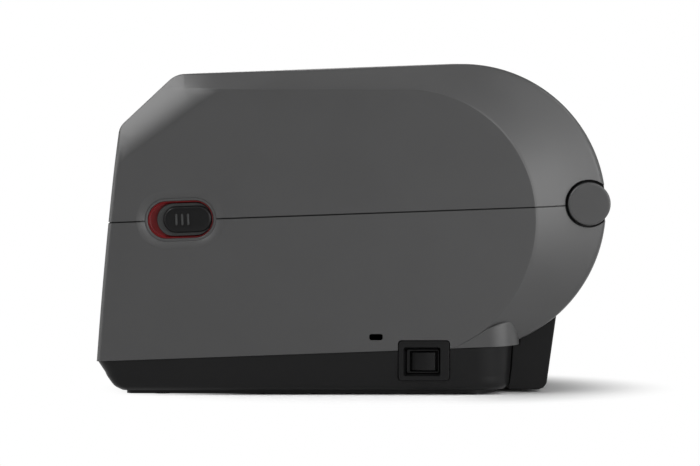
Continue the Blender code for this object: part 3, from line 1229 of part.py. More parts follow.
def roll_guide(name, side):
    plate_x = across(side, GUIDE_X, GUIDE_X + GUIDE_T)
    made = piece(f"roll_guide_{name}", extruded([guide_outline(side)], *plate_x), INNER)
    hub = rod(HUB_TIP_R, GUIDE_X - HUB_LENGTH, GUIDE_X + GUIDE_T * HALF, HUB_R, segments=20)
    if side < 0:
        hub.transform(Matrix.Rotation(math.pi, 4, "Z"))
    join(made, tool(hub, at=(0, ROLL_U, ROLL_V)))
    back = rack_back(side)
    leg_u = sorted((back + side * CLEAR, back + side * (RACK_BACK - CLEAR)))
    foot_v = GUIDE_FOOT_V + OVERRUN
    leg = box(across(side, GUIDE_X + CLEAR, GUIDE_X + LEG_T - CLEAR), leg_u, (RACK_LOW + RACK_T * HALF, foot_v))
    join(made, tool(leg))
    rack = rack_outline(side, -RACK_PAST, GUIDE_X + LEG_T)
    join(made, tool(extruded([rack], RACK_LOW, RACK_LOW + RACK_T, FROM_ABOVE)))
    made.modifiers[-1].use_self = True


def rack_track():
    """Plate under the racks: carries the pinion's pin and hangs from the cradle by two posts."""
    top = RACK_LOW - CLEAR
    half_w = TRACK_W / 2
    shape = box((-TRACK_HALF, TRACK_HALF), (ROLL_U - half_w, ROLL_U + half_w), (top - TRACK_T, top))
    made = piece("rack_track", shape, INNER)
    pin = rod(PINION_PIN_R, top - TRACK_T * HALF, RACK_LOW + RACK_T + CLEAR, axis="Z", segments=16)
    join(made, tool(pin, at=(0, ROLL_U, 0)))
    roof = ROLL_V - CRADLE_R - CRADLE_T - CLEAR
    for side in (-1, 1):
        post_x = across(side, TRACK_HALF - TRACK_POST, TRACK_HALF)
        post = box(post_x, (ROLL_U - TRACK_POST_W / 2, ROLL_U + TRACK_POST_W / 2), (top - TRACK_T * HALF, roof))
        join(made, tool(post))


def front_lip():
    front = front_u(-EXIT_DROP + CLEAR)
    upper = front_u(LIP_RISE - LIP_WALL)
    outline = [
        (front, -EXIT_DROP + CLEAR),
        (LIP_LEG_U, -EXIT_DROP + CLEAR),
        (LIP_LEG_U, LIP_LEG_V),
        (LIP_LEG_U + LIP_WALL, LIP_LEG_V),
        (LIP_LEG_U + LIP_WALL, LIP_RISE - LIP_WALL),
        (LIP_DEPTH, LIP_RISE - LIP_WALL),
        (LIP_DEPTH, LIP_RISE),
        (upper + LIP_WALL * HALF, LIP_RISE),
        (upper, LIP_RISE - LIP_WALL * HALF),
    ]
    piece("front_lip", extruded([outline], -EXIT_HALF + CLEAR, EXIT_HALF - CLEAR), BLACK)
    teeth = round(2 * TEAR_HALF / TEAR_PITCH)
    front_teeth = []
    low_u = upper + LIP_WALL * HALF
    for i in range(teeth):
        x = -TEAR_HALF + TEAR_PITCH * i
        front_teeth += [(x, low_u + TEAR_TOOTH), (x + TEAR_PITCH / 2, low_u)]
    front_teeth.append((TEAR_HALF, low_u + TEAR_TOOTH))
    rear = low_u + TEAR_DEPTH
    blade = front_teeth + [(TEAR_HALF, rear), (-TEAR_HALF, rear)]
    low = LIP_RISE + CLEAR
    piece("tear_bar", extruded([blade], low, low + TEAR_T, FROM_ABOVE), STEEL)


def front_u(v):
    """Outer face of the front wall at a height beside the parting line."""
    arc_points = front_arc()
    for first, second in zip(arc_points, arc_points[1:]):
        if first[1] <= v <= second[1]:
            return between(first, second, (v - first[1]) / (second[1] - first[1]))[0]
    return arc_points[0][0]


def idler_place():
    """Centre of the compound idler, at its two centre distances from the platen and the motor."""
    first, second = Vector((PLATEN_U, PLATEN_V)), Vector((MOTOR_U, MOTOR_V))
    near = MODULE * (PLATEN_TEETH + IDLER_SMALL) / 2
    far = MODULE * (MOTOR_TEETH + IDLER_LARGE) / 2
    line = second - first
    along = (near**2 - far**2 + line.length_squared) / (2 * line.length)
    aside = math.sqrt(near**2 - along**2)
    direction = line.normalized()
    place = first + direction * along + Vector((direction.y, -direction.x)) * aside
    return place.x, place.y


def platen_frame():
    """Bent sheet: a channel round the platen, flanges on the deck and a long left ear for the drive."""
    inner, outer = FRAME_X, FRAME_X + SHEET
    rest = DECK_TOP + CLEAR
    top = rest + SHEET
    right = [(outer, FRAME_FLOOR_V), (outer, top), (inner, top), (inner, FRAME_FLOOR_V + SHEET)]
    profile = right + mirrored(right)
    made = piece("platen_frame", extruded([profile], FRAME_LOW_U, FRAME_HIGH_U, FROM_FRONT), ZINC)
    edge = MOTOR_SIDE / 2 + MOTOR_PLATE_EDGE
    plate = [
        (FRAME_LOW_U, top),
        (FRAME_LOW_U, FRAME_FLOOR_V),
        (MOTOR_U - edge, MOTOR_V - edge),
        (MOTOR_U + edge, MOTOR_V - edge),
        (MOTOR_U + edge, MOTOR_V),
        (EAR_REAR_U, top),
    ]
    shaft_hole = shifted(bore(MOTOR_SHAFT_R + CLEAR), MOTOR_U, MOTOR_V)
    join(made, tool(extruded([plate, shaft_hole], -outer, -inner)))
    ear_u = (FRAME_HIGH_U - OVERRUN, EAR_REAR_U)
    join(made, tool(box((inner, outer), ear_u, (FRAME_FLOOR_V, top))))
    for side in (-1, 1):
        flange = box(across(side, FLANGE_X, outer - SHEET * HALF), (FLANGE_FRONT_U, FLANGE_REAR_U), (rest, top))
        join(made, tool(flange))
    seat = BUSH / 2 + CLEAR
    for side in (-1, 1):
        notch = box(across(side, inner - OVERRUN, outer + OVERRUN), (PLATEN_U - seat, PLATEN_U + seat), (PLATEN_V - seat, OVERRUN))
        cut(made, tool(notch))
    end = GEAR_A_X + GEAR_A_T + GEAR_B_T + 3 * CLEAR
    pin = rod(IDLER_PIN_R, -end, -inner - SHEET * HALF, segments=12)
    join(made, tool(pin, at=(0, *idler_place())))


def platen():
    axis = (0, PLATEN_U, PLATEN_V)
    hole = PLATEN_R - 2 * SHAFT_R * HALF
    sleeve = [(PLATEN_R, PLATEN_HALF), (PLATEN_R, -PLATEN_HALF), (hole, -PLATEN_HALF), (hole, PLATEN_HALF)]
    piece("platen_sleeve", turned(sleeve, 28), RUBBER, at=axis)
    core = hole - CLEAR * HALF
    right_end = FRAME_X + SHEET + BUSH_T * HALF
    left_end = GEAR_A_X + GEAR_A_T + CLEAR
    shaft = [
        (0, right_end),
        (SHAFT_R, right_end),
        (SHAFT_R, PLATEN_HALF),
        (core, PLATEN_HALF),
        (core, -PLATEN_HALF),
        (SHAFT_R, -PLATEN_HALF),
        (SHAFT_R, -left_end),
        (0, -left_end),
    ]
    piece("platen_shaft", turned(shaft, 20), STEEL, at=axis)
    gear = extruded([tooth_points(PLATEN_TEETH, 0), bore(SHAFT_R + CLEAR)], -GEAR_A_X - GEAR_A_T, -GEAR_A_X)
    piece("platen_gear", gear, GEAR_WHITE, at=axis)
    half = BUSH / 2
    eye = bore(SHAFT_R + CLEAR, 20)
    for name, side in (("left", -1), ("right", 1)):
        low, high = across(side, FRAME_X - BUSH_OUT, FRAME_X - BUSH_OUT + BUSH_T)
        high_cap = rectangle((-half, half), (-half, half), half / 3, 2)
        piece(f"platen_bush_{name}", extruded([high_cap, eye], low, high), BLACK, at=axis)


def drive():
    place = idler_place()
    platen_place = (PLATEN_U, PLATEN_V)
    motor_place = (MOTOR_U, MOTOR_V)
    small_phase = meshed_phase(platen_place, PLATEN_TEETH, 0, place, IDLER_SMALL)
    motor_phase = meshed_phase(place, IDLER_LARGE, 0, motor_place, MOTOR_TEETH)
    low, middle, high = -GEAR_A_X - GEAR_A_T - GEAR_B_T - CLEAR, -GEAR_A_X - GEAR_A_T - CLEAR, -GEAR_A_X
    hole = bore(IDLER_PIN_R + CLEAR)
    idler = piece("idler_gear", extruded([tooth_points(IDLER_LARGE, 0), hole], low, middle), GEAR_WHITE, at=(0, *place))
    join(idler, tool(extruded([tooth_points(IDLER_SMALL, small_phase), hole], middle - CLEAR, high), at=(0, *place)))
    pinion = extruded([tooth_points(MOTOR_TEETH, motor_phase)], low, middle)
    made = piece("motor_pinion", pinion, STEEL, at=(0, *motor_place))
    shaft = rod(MOTOR_SHAFT_R, middle - CLEAR, -FRAME_X + CLEAR, segments=12)
    join(made, tool(shaft, at=(0, *motor_place)))
    half = MOTOR_SIDE / 2
    body = rectangle((-half, half), (-half, half), MOTOR_CORNER, 2)
    start = FRAME_X - CLEAR
    motor = extruded([body], -start, -start + MOTOR_LENGTH)
    piece("stepper_motor", motor, STEEL, at=(0, *motor_place))


def media_sensor():
    rail_v = DECK_TOP - RAIL_DROP
    rail = rod(RAIL_R, -FRAME_X + CLEAR, FRAME_X - CLEAR, segments=12)
    piece("sensor_rail", rail, STEEL, at=(0, SENSOR_U, rail_v))
    half_w, half_d = SENSOR_W / 2, SENSOR_D / 2
    low = rail_v - RAIL_R - SHEET
    block = box((-half_w, half_w), (SENSOR_U - half_d, SENSOR_U + half_d), (low, DECK_TOP))
    made = piece("media_sensor", block, BLACK)
    cut(made, tool(rod(RAIL_R + CLEAR, -half_w - OVERRUN, half_w + OVERRUN, segments=12), at=(0, SENSOR_U, rail_v)))


def ribbon_side():
    """Side plate of the ribbon frame, with its spindle eyes and a window."""
    corners = [
        (BAR_LOW_U - GUIDE_ROD_R, RIBBON_LOW_V),
        (BAR_LOW_U - GUIDE_ROD_R, BAR_V + BAR_T),
        (TAKEUP_U - CORE_FLANGE_R, RIBBON_TOP_V - FEED_R),
        (TAKEUP_U - FEED_R, RIBBON_TOP_V),
        (SUPPLY_U + CORE_FLANGE_R, RIBBON_TOP_V),
        (SUPPLY_U + 2 * CORE_FLANGE_R, SUPPLY_V + CORE_R),
        (SUPPLY_U + CORE_FLANGE_R, SUPPLY_V - 2 * CORE_FLANGE_R + CORE_R),
        (REAR_ROD_U, RIBBON_LOW_V),
    ]
    outer = rounded(corners, CORE_R * HALF, 2)
    eyes = [shifted(bore(SPINDLE_R + CLEAR, 16), u, v) for u, v in ((TAKEUP_U, TAKEUP_V), (SUPPLY_U, SUPPLY_V))]
    pivot = shifted(bore(HEAD_PIVOT_R + CLEAR), HEAD_PIVOT_U, HEAD_PIVOT_V)
    middle_u = (TAKEUP_U + SUPPLY_U) / 2
    window = [
        (middle_u - CORE_FLANGE_R, SUPPLY_V + CORE_R),
        (middle_u, SUPPLY_V - CORE_FLANGE_R),
        (middle_u + CORE_FLANGE_R, SUPPLY_V + CORE_R),
    ]
    return [outer, *eyes, pivot, rounded(window, SHAFT_R * HALF, 2)]


def ribbon_frame():
    outer = RIBBON_X + RIBBON_T
    made = piece("ribbon_frame", extruded(ribbon_side(), -outer, -RIBBON_X), INNER)
    join(made, tool(extruded(ribbon_side(), RIBBON_X, outer)))
    inset = RIBBON_T * HALF
    bar = box((-RIBBON_X - inset, RIBBON_X + inset), (BAR_LOW_U, BAR_HIGH_U), (BAR_V, BAR_V + BAR_T))
    top_u = (TAKEUP_U + CORE_R, SUPPLY_U + CORE_R)
    roof = box((-outer + inset, outer - inset), top_u, (RIBBON_TOP_V - RIBBON_T, RIBBON_TOP_V - CLEAR))
    join(made, tool(bar), tool(roof))
    for u, v in ((FRONT_ROD_U, FRONT_ROD_V), (REAR_ROD_U, REAR_ROD_V)):
        join(made, tool(rod(GUIDE_ROD_R, -RIBBON_X - inset, RIBBON_X + inset, segments=12), at=(0, u, v)))
    ceiling = TOP_V - WALL - CLEAR
    for x in (-POST_X, POST_X):
        for u in (POST_FRONT_U + POST_R, POST_REAR_U - POST_R):
            post = rod(POST_R, RIBBON_TOP_V - RIBBON_T * HALF, ceiling, axis="Z", centre=(x, u), segments=12)
            join(made, tool(post))


def spindle(name, u, v, left_end):
    """A ribbon spindle: shaft, core seat and the flange that locates the core."""
    right_end = RIBBON_X + RIBBON_T
    profile = [
        (0, right_end),
        (SPINDLE_R, right_end),
        (SPINDLE_R, CORE_HALF),
        (CORE_R, CORE_HALF - CORE_R * HALF),
        (CORE_R, -CORE_HALF),
        (CORE_FLANGE_R, -CORE_HALF),
        (CORE_FLANGE_R, -CORE_HALF - CORE_FLANGE_T),
        (SPINDLE_R, -CORE_HALF - CORE_FLANGE_T),
        (SPINDLE_R, -left_end),
        (0, -left_end),
    ]
    piece(name, turned(profile, 20), BLACK, at=(0, u, v))


def ribbon_drive():
    gear_end = RIBBON_GEAR_X + RIBBON_GEAR_T
    spindle("takeup_spindle", TAKEUP_U, TAKEUP_V, gear_end)
    spindle("supply_spindle", SUPPLY_U, SUPPLY_V, RIBBON_X + RIBBON_T + CORE_FLANGE_T)
    wheel = [tooth_points(TAKEUP_TEETH, 0), bore(SPINDLE_R + CLEAR, 16)]
    piece("takeup_gear", extruded(wheel, -gear_end, -RIBBON_GEAR_X), GEAR_WHITE, at=(0, TAKEUP_U, TAKEUP_V))
    reach = MODULE * (TAKEUP_TEETH + RIBBON_PINION_TEETH) / 2
    place = (TAKEUP_U + reach * math.cos(RIBBON_MOTOR_TURN), TAKEUP_V + reach * math.sin(RIBBON_MOTOR_TURN))
    phase = meshed_phase((TAKEUP_U, TAKEUP_V), TAKEUP_TEETH, 0, place, RIBBON_PINION_TEETH)
    pinion = extruded([tooth_points(RIBBON_PINION_TEETH, phase)], -gear_end, -RIBBON_GEAR_X)
    made = piece("ribbon_pinion", pinion, STEEL, at=(0, *place))
    plate_out = GEAR_PLATE_X + SHEET
    shaft = rod(MOTOR_SHAFT_R * HALF, -plate_out, -RIBBON_GEAR_X - CLEAR, segments=10)
    join(made, tool(shaft, at=(0, *place)))
    gear_plate(place, plate_out)
    end = plate_out + CLEAR
    can = [(0, -end), (RIBBON_MOTOR_R, -end), (RIBBON_MOTOR_R, -end - RIBBON_MOTOR_LENGTH), (0, -end - RIBBON_MOTOR_LENGTH)]
    piece("ribbon_motor", turned(can, 20), STEEL, at=(0, *place))


def gear_plate(place, plate_out):
    """Sheet plate outboard of the ribbon gears: posts stand it off the ribbon frame, the motor hangs on it."""
    low, high = (TAKEUP_U, TAKEUP_V), place
    reach = GEAR_PLATE_R + MODULE * TAKEUP_TEETH / 2
    turn = RIBBON_MOTOR_TURN
    outline = arc(high, GEAR_PLATE_R, turn - math.pi / 2, turn + math.pi / 2, 6)
    outline += arc(low, reach * HALF, turn + math.pi / 2, turn + math.pi * 3 / 2, 6)
    hole = shifted(bore(MOTOR_SHAFT_R * HALF + CLEAR, 10), *place)
    made = piece("ribbon_gear_plate", extruded([outline, hole], -plate_out, -GEAR_PLATE_X), ZINC)
    post = reach - GEAR_POST_R - CLEAR
    arm = box((-plate_out, -GEAR_PLATE_X), (low[0] - post, low[0]), (low[1] - GEAR_POST_R, low[1] + GEAR_POST_R))
    join(made, tool(arm))
    foot = -RIBBON_X - RIBBON_T - CLEAR
    for u, v in ((low[0] - post, low[1]), (high[0] + MODULE * RIBBON_PINION_TEETH / 2 + 2 * GEAR_POST_R - CLEAR, high[1])):
        rod_mesh = rod(GEAR_POST_R, -GEAR_PLATE_X - SHEET * HALF, foot, segments=10)
        join(made, tool(rod_mesh, at=(0, u, v)))


def printhead():
    bottom = NIP_V + CLEAR
    pivot = (0, HEAD_PIVOT_U, HEAD_PIVOT_V)
    shift = (-HEAD_PIVOT_U, -HEAD_PIVOT_V)
    strip = shifted(rectangle((HEAD_FRONT_U, HEAD_REAR_U), (bottom, bottom + HEAD_T)), *shift)
    piece("printhead", extruded([strip], -HEAD_HALF, HEAD_HALF), CERAMIC, at=pivot)
    low = bottom + HEAD_T + CLEAR
    top = low + BRACKET_T
    eye = arc((HEAD_PIVOT_U, HEAD_PIVOT_V), HEAD_EYE_R, -math.pi / 2, math.pi * 3 / 4, 10)
    outline = [(BRACKET_FRONT_U, low), (HEAD_REAR_U, low)] + eye + [(HEAD_REAR_U, top)]
    for i in range(FIN_COUNT):
        u = FIN_FIRST + (FIN_COUNT - 1 - i) * FIN_PITCH - FIN_PITCH / 2
        outline += [(u + FIN_GAP, top), (u + FIN_GAP, top - FIN_DEPTH), (u, top - FIN_DEPTH), (u, top)]
    outline += [(BRACKET_FRONT_U, top)]
    hole = bore(HEAD_PIVOT_R + CLEAR)
    mesh = extruded([shifted(outline, *shift), hole], -BRACKET_HALF, BRACKET_HALF)
    piece("head_bracket", mesh, ALUMINIUM, at=pivot)
    end = RIBBON_X + RIBBON_T
    piece("head_shaft", rod(HEAD_PIVOT_R, -end, end, segments=16), STEEL, at=pivot)
    for name, x in (("left", -SPRING_X), ("right", SPRING_X)):
        head_spring(name, x, top + CLEAR + SPRING_WIRE, BAR_V - CLEAR - SPRING_WIRE)


def head_spring(name, x, low, high):
    """A coil between the head bracket and the frame's bar, as one bevelled curve."""
    count = SPRING_TURNS * SPRING_POINTS
    curve = bpy.data.curves.new(name, "CURVE")
    curve.dimensions = "3D"
    curve.bevel_depth = SPRING_WIRE
    curve.bevel_resolution = 1
    curve.use_fill_caps = True
    spline = curve.splines.new("POLY")
    spline.points.add(count)
    for i, point in enumerate(spline.points):
        angle = WHOLE_TURN * i / SPRING_POINTS
        height = low + (high - low) * i / count
        point.co = (SPRING_R * math.cos(angle), SPRING_R * math.sin(angle), height, 1)
    gap = (high - low) / SPRING_TURNS - 2 * SPRING_WIRE
    print(f"{name} head spring: {gap * 1000:.2f} mm between turns")
    made = bpy.data.objects.new(f"head_spring_{name}", curve)
    curve.materials.append(STEEL)
    PARTS.objects.link(made)
    made.parent = BODY
    made.location = (x, SPRING_U, 0)


cover_shell()
lower_housing()
base_tray()
feet()
rear_panel()
sockets()
main_board()
switch()
hinge()
latches()
control_panel()
media_bay()
roll_guides()
rack_track()
front_lip()
platen_frame()
platen()
drive()
media_sensor()
ribbon_frame()
ribbon_drive()
printhead()
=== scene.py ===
"""Looks for the desktop thermal transfer printer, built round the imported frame.

Metres, +Z up, the front faces -Y and +X is the operator's right. The body is square to its parting line, which
climbs towards the rear. Places in that tilted frame are written (x, u, v), as in the part's own source.
"""

import json
import math

import bmesh
import bpy
from mathutils import Matrix, Vector

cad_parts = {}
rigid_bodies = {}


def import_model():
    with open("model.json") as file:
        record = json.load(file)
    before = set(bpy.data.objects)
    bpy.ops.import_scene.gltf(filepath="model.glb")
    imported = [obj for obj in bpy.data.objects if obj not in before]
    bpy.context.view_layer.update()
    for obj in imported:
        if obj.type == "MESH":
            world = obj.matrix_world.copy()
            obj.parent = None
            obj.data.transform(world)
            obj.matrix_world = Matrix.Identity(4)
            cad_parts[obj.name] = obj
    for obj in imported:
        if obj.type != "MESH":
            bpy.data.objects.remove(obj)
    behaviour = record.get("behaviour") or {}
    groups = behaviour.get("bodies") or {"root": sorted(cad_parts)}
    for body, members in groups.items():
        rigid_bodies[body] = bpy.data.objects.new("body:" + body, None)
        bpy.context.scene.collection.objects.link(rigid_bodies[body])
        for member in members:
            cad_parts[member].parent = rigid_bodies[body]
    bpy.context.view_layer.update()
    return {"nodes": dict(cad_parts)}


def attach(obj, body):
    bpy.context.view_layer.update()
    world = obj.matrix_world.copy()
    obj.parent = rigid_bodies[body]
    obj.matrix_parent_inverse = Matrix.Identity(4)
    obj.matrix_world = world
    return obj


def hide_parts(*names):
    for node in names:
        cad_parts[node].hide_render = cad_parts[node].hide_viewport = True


for old in list(bpy.data.objects):
    bpy.data.objects.remove(old, do_unlink=True)
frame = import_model()

# Allowances, turns and the fine edge of the kept CAD nodes
CLEAR, OVERRUN, WELD = 0.0003, 0.002, 0.000001
WHOLE_TURN, QUARTER_TURN = 2 * math.pi, math.pi / 2
FINE_EDGE = 0.00025
EDGE_WIDTHS = {"stepper_motor": 0.0006, "control_panel": 0.0003, "media_bay": 0.0004, "rack_track": 0.0004}

# Body outline, as in the part
TILT = math.radians(2.07)
TILT_COS, TILT_SIN = math.cos(TILT), math.sin(TILT)
SEAM_Y, SEAM_Z, SEAM_GAP = -0.142198, 0.1004, 0.0008
HALF_WIDTH, WALL = 0.101, 0.0026
FOOT_U, LOWER_DEPTH, TOP_V = -0.0099, 0.0801, 0.0844
FACET_LOW, FACET_HIGH = (0.0082, 0.0551), (0.0418, 0.0844)
FACET_LOW_R, FACET_HIGH_R = 0.010, 0.014
FACET_CENTRE = ((FACET_LOW[0] + FACET_HIGH[0]) / 2, (FACET_LOW[1] + FACET_HIGH[1]) / 2)
FACET_ANGLE = math.atan2(FACET_HIGH[1] - FACET_LOW[1], FACET_HIGH[0] - FACET_LOW[0])
DRUM_U, DRUM_V, DRUM_R = 0.2056, 0.0007, 0.0837
TONGUE_V, TONGUE_INSET = 0.0002, 0.0006

# How finely the outline is divided, and how far it starts below the foot as a share of its first step
FRONT_STEPS, FILLET_STEPS, FACET_STEPS, CORNER_STEPS, TOP_STEPS, DRUM_STEPS = 28, 10, 7, 6, 16, 180
FOOT_LEAD = 0.9

# The outline's rounded edges, and the hollow band that runs from them to the crease round the side face
EDGE_R, FACET_EDGE_R, RING_EDGE = 0.003, 0.0005, 0.0030
EDGE_BEND, RING_BEND = 0.5523, 0.6
RING_DROP, RING_GROWTH, RING_EASE = 0.014, 0.075, 0.35
STEP_DEPTH, STEP_REACH = 0.0004, 0.0005
CREASE_U, CREASE_V, CREASE_R, CREASE_LOW_R = 0.1727, -0.0042, 0.075, 0.0795
CREASE_FRONT_V, CREASE_SOFT, CREASE_CRISP = 0.0774, 0.0012, 0.0003
FRONT_ROWS, RING_ROWS, CREASE_ROWS = 9, (0.72, 0.46, 0.26), (5, 2.5, 1)

# The flare, where the side turns inward to the front facet
FLARE_LOW_U, FLARE_LOW_V, FLARE_HIGH_U = 0.0080, 0.0342, 0.0690
FLARE_DROP, FLARE_REACH, FLARE_POWER, FLARE_ROWS = 0.0088, 0.0184, 1.35, 9

# Plinth, its ledge, and the media cradle that it clears
PLINTH_FRONT_U, PLINTH_REAR_U, PLINTH_R, PLINTH_T, PLINTH_INSET = 0.190, 0.236, 0.018, 0.007, 0.0001
LEDGE_LOW_U, LEDGE_HIGH_U = 0.192, 0.230
LEDGE_LOW_V, LEDGE_HIGH_V = -0.0792, -0.0658
LEDGE_R, LEDGE_SHARE = 0.0012, 0.7
CRADLE_U, CRADLE_V, CRADLE_X, CRADLE_OUTER_R = 0.199, -0.004, 0.0907, 0.0697

# Hinge caps and the washers behind them
HINGE_U, HINGE_V = 0.2790, 0.0006
CAP_R, CAP_FACE_X, CAP_INNER_X = 0.0126, 0.0955, 0.0843
CAP_GAP, TAIL_GAP, BRACKET_HIGH_X = 0.0014, 0.0019, 0.084
CAP_SEEN_R, CAP_EDGE_R = 0.0124, 0.0011
WASHER_R, WASHER_EDGE = CAP_R + TAIL_GAP - 0.0002, 0.0003
WASHER_FACE_X, WASHER_BACK_X = 0.0838, 0.0829

# Label exit, control panel and lock slot
EXIT_HALF, EXIT_HEIGHT, EXIT_DROP, LIP_DEPTH = 0.058, 0.007, 0.009, 0.0086
PANEL_HALF, PANEL_HEIGHT, PANEL_T, PANEL_CORNER = 0.048, 0.030, 0.0013, 0.004
FEED_X, FEED_R = 0.024, 0.006
LOCK_Y, LOCK_Z, LOCK_LENGTH, LOCK_HEIGHT, LOCK_CORNER = 0.0128, 0.0341, 0.0078, 0.0037, 0.0013

# Tray rings: height, then how much the half width, front, rear and corner radii lose
TRAY_HALF, TRAY_REAR_Y, TRAY_FRONT_R, TRAY_REAR_R = 0.1003, 0.0925, 0.009, 0.022
TRAY_TOP = (None, 0, 0, 0, 0)
TRAY_SHOULDER = (0.0135, 0.0014, 0.0041, 0.0010, 0.0012)
TRAY_KNOTS = (
    (0.0112, 0.0017, 0.0051, 0.0013, 0.0015),
    (0.0055, 0.0025, 0.0094, 0.0020, 0.0030),
    (0.0028, 0.0051, 0.0141, 0.0044, 0.0045),
)
TRAY_STEPS, TRAY_WALL, TRAY_NOTCH_X = 4, 0.0024, 0.0885
POST_X, POST_FRONT_Y, POST_REAR_Y = 0.064, -0.054, 0.072
POST_R, POST_LOW_Z, POST_HIGH_Z = 0.0035, 0.004, 0.0117
# The rim's corners, as distance inward and height
TRAY_RIM = ((0.004, 0.0030), (0.004, 0.0007), (0.006, 0.0007), (0.006, 0.0030))
RIM_REACH_X, RIM_REACH_Y, RIM_SHIFT = 0.1, 0.12, 0.002

# Rear block, and its sockets as (x, width, height)
BLOCK_HALF, BLOCK_LOW_Z, BLOCK_CORNER_R, BLOCK_STEP_Y = 0.076, 0.0016, 0.0058, 0.0927
BLOCK_BACK_Y, BLOCK_BACK_Z = 0.1133, 0.0090
BLOCK_TOP_Y, BLOCK_TOP_Z = 0.1186, 0.0425
BLOCK_FRONT = ((0.0920, 0.0145), (0.0914, 0.0112), (0.0909, 0.0062), (0.0900, 0.0040), (0.0908, BLOCK_LOW_Z))
SOCKET_Z, SOCKET_DEPTH = 0.0225, 0.0163
SOCKETS = ((-0.010, 0.016, 0.0135), (0.020, 0.012, 0.011), (0.050, 0.013, 0.013))

# Latches
LATCH_U, LATCH_V = 0.0418, 0.0003
DISH_WIDE, DISH_NARROW = (0.0524, 0.0345), (0.0415, 0.0251)
DISH_DEPTH, DISH_LIFT, DISH_SLOPE, DISH_STEPS = 0.0017, 0.3, 0.35, 6
LATCH_OUTER, LATCH_INNER = (0.0414, 0.0250), (0.0380, 0.0216)
PLATE_SIZE, BUTTON_SIZE = (0.0320, 0.0190), (0.0282, 0.0154)
# Levels of these four: size, growth, depth below the side face
LATCH_RING = (
    (LATCH_OUTER, 0, 0.0040),
    (LATCH_OUTER, 0, 0.0020),
    (LATCH_OUTER, -0.00015, 0.0019),
    (LATCH_INNER, 0.0006, 0.0019),
    (LATCH_INNER, 0.0002, 0.0021),
    (LATCH_INNER, 0, 0.0025),
    (LATCH_INNER, 0, 0.0040),
)
LATCH_CUP = (
    (LATCH_INNER, 0.0010, 0.0070),
    (LATCH_INNER, 0.0010, 0.0041),
    (LATCH_INNER, -0.0003, 0.0041),
    (LATCH_INNER, -0.0002, 0.0024),
    (LATCH_INNER, -0.0005, 0.0023),
    (LATCH_INNER, -0.0006, 0.0050),
    (LATCH_INNER, -0.0012, 0.0056),
    (LATCH_INNER, -0.0020, 0.0058),
    (LATCH_INNER, -0.0085, 0.0058),
    (LATCH_INNER, -0.0085, 0.0070),
)
SLIDER_PLATE = (
    (PLATE_SIZE, -0.0003, 0.0055),
    (PLATE_SIZE, 0, 0.0052),
    (PLATE_SIZE, 0, 0.0041),
    (PLATE_SIZE, -0.0002, 0.0038),
    (PLATE_SIZE, -0.0006, 0.0037),
)
SLIDER_BUTTON = (
    (BUTTON_SIZE, 0.0001, 0.0039),
    (BUTTON_SIZE, -0.0001, 0.0020),
    (BUTTON_SIZE, -0.0004, 0.0014),
    (BUTTON_SIZE, -0.0009, 0.0010),
    (BUTTON_SIZE, -0.0016, 0.0008),
    (BUTTON_SIZE, -0.0040, 0.0007),
)
SLIDER_REST, BUTTON_SHIFT = 0.0024, 0.0017
# Length, height, depth below the side face
RIB_LEVELS = ((0.0068, 0.0015, 0.0010), (0.0067, 0.0013, 0.0005), (0.0063, 0.0009, 0.0001), (0.0058, 0.0004, 0))
RIB_FIRST, RIB_STEP = -0.0047, 0.0034
STEM_X, STEM_U, STEM_HALF = (0.0914, 0.0965), (-0.0103, -0.0043), 0.003
HOOK_X = (0.0904, 0.0937)
HOOK_LOW = ((-0.0107, -0.0028), (0.0019, -0.0028), (0.0019, 0.020))
HOOK_OUTLINE = (*HOOK_LOW, (-0.0030, 0.020), (-0.0030, 0.0028), (-0.0107, 0.0028))

# Power switch: the frame's outside as (growth, depth), its openings as (width, height, corner, shift, depth)
SWITCH_Y, SWITCH_Z, SWITCH_W, SWITCH_H, SWITCH_CORNER = 0.0406, 0.0204, 0.0297, 0.0233, 0.0022
SWITCH_FACE_X, SWITCH_DEPTH, MOUTH_DROP = 0.1008, 0.0120, 0.0006
FRAME_OUTSIDE = ((0, SWITCH_DEPTH), (0, 0.0005), (-0.0002, 0.0001), (-0.0006, 0))
FRAME_MOUTH = (
    (0.0215, 0.0168, 0.0012, -0.00115, 0),
    (0.0211, 0.0164, 0.0010, -0.00115, 0.0004),
    (0.0198, 0.0146, 0.0008, -0.0007, 0.0040),
    (0.0195, 0.0142, 0.0006, -0.00055, 0.0046),
    (0.0195, 0.0142, 0.0006, -0.00055, SWITCH_DEPTH),
)
BEZEL = (
    (0.0189, 0.0138, 0.0008, -0.00055, 0.0113),
    (0.0189, 0.0138, 0.0008, -0.00055, 0.0044),
    (0.0185, 0.0134, 0.0008, -0.00055, 0.0040),
    (0.0164, 0.0122, 0.0006, 0, 0.0040),
    (0.0158, 0.0117, 0.0005, 0, 0.0046),
    (0.0158, 0.0117, 0.0005, 0, 0.0113),
)
BEZEL_FLOOR = ((0.0170, 0.0128, 0.0005, 0, 0.0108), (0.0170, 0.0128, 0.0005, 0, 0.0112))
ROCKER_X, ROCKER_DROP, ROCKER_TIP = 0.0942, 0.0007, math.radians(7)
ROCKER_HALF, ROCKER_HEIGHT = 0.0072, 0.0107
ROCKER_BELLY, ROCKER_LOW, ROCKER_END = -0.0014, 0.0004, 0.0019
CROWN_HIGH, CROWN_FALL, CROWN_POWER = 0.0034, 0.0014, 1.6

# Head springs, and the pockets over them in the ribbon frame's bar
SPRING_X, SPRING_U, BAR_V = 0.030, 0.0205, 0.020
POCKET_R, POCKET_DEPTH, POCKET_MOUTH = 0.0047, 0.0018, 0.001

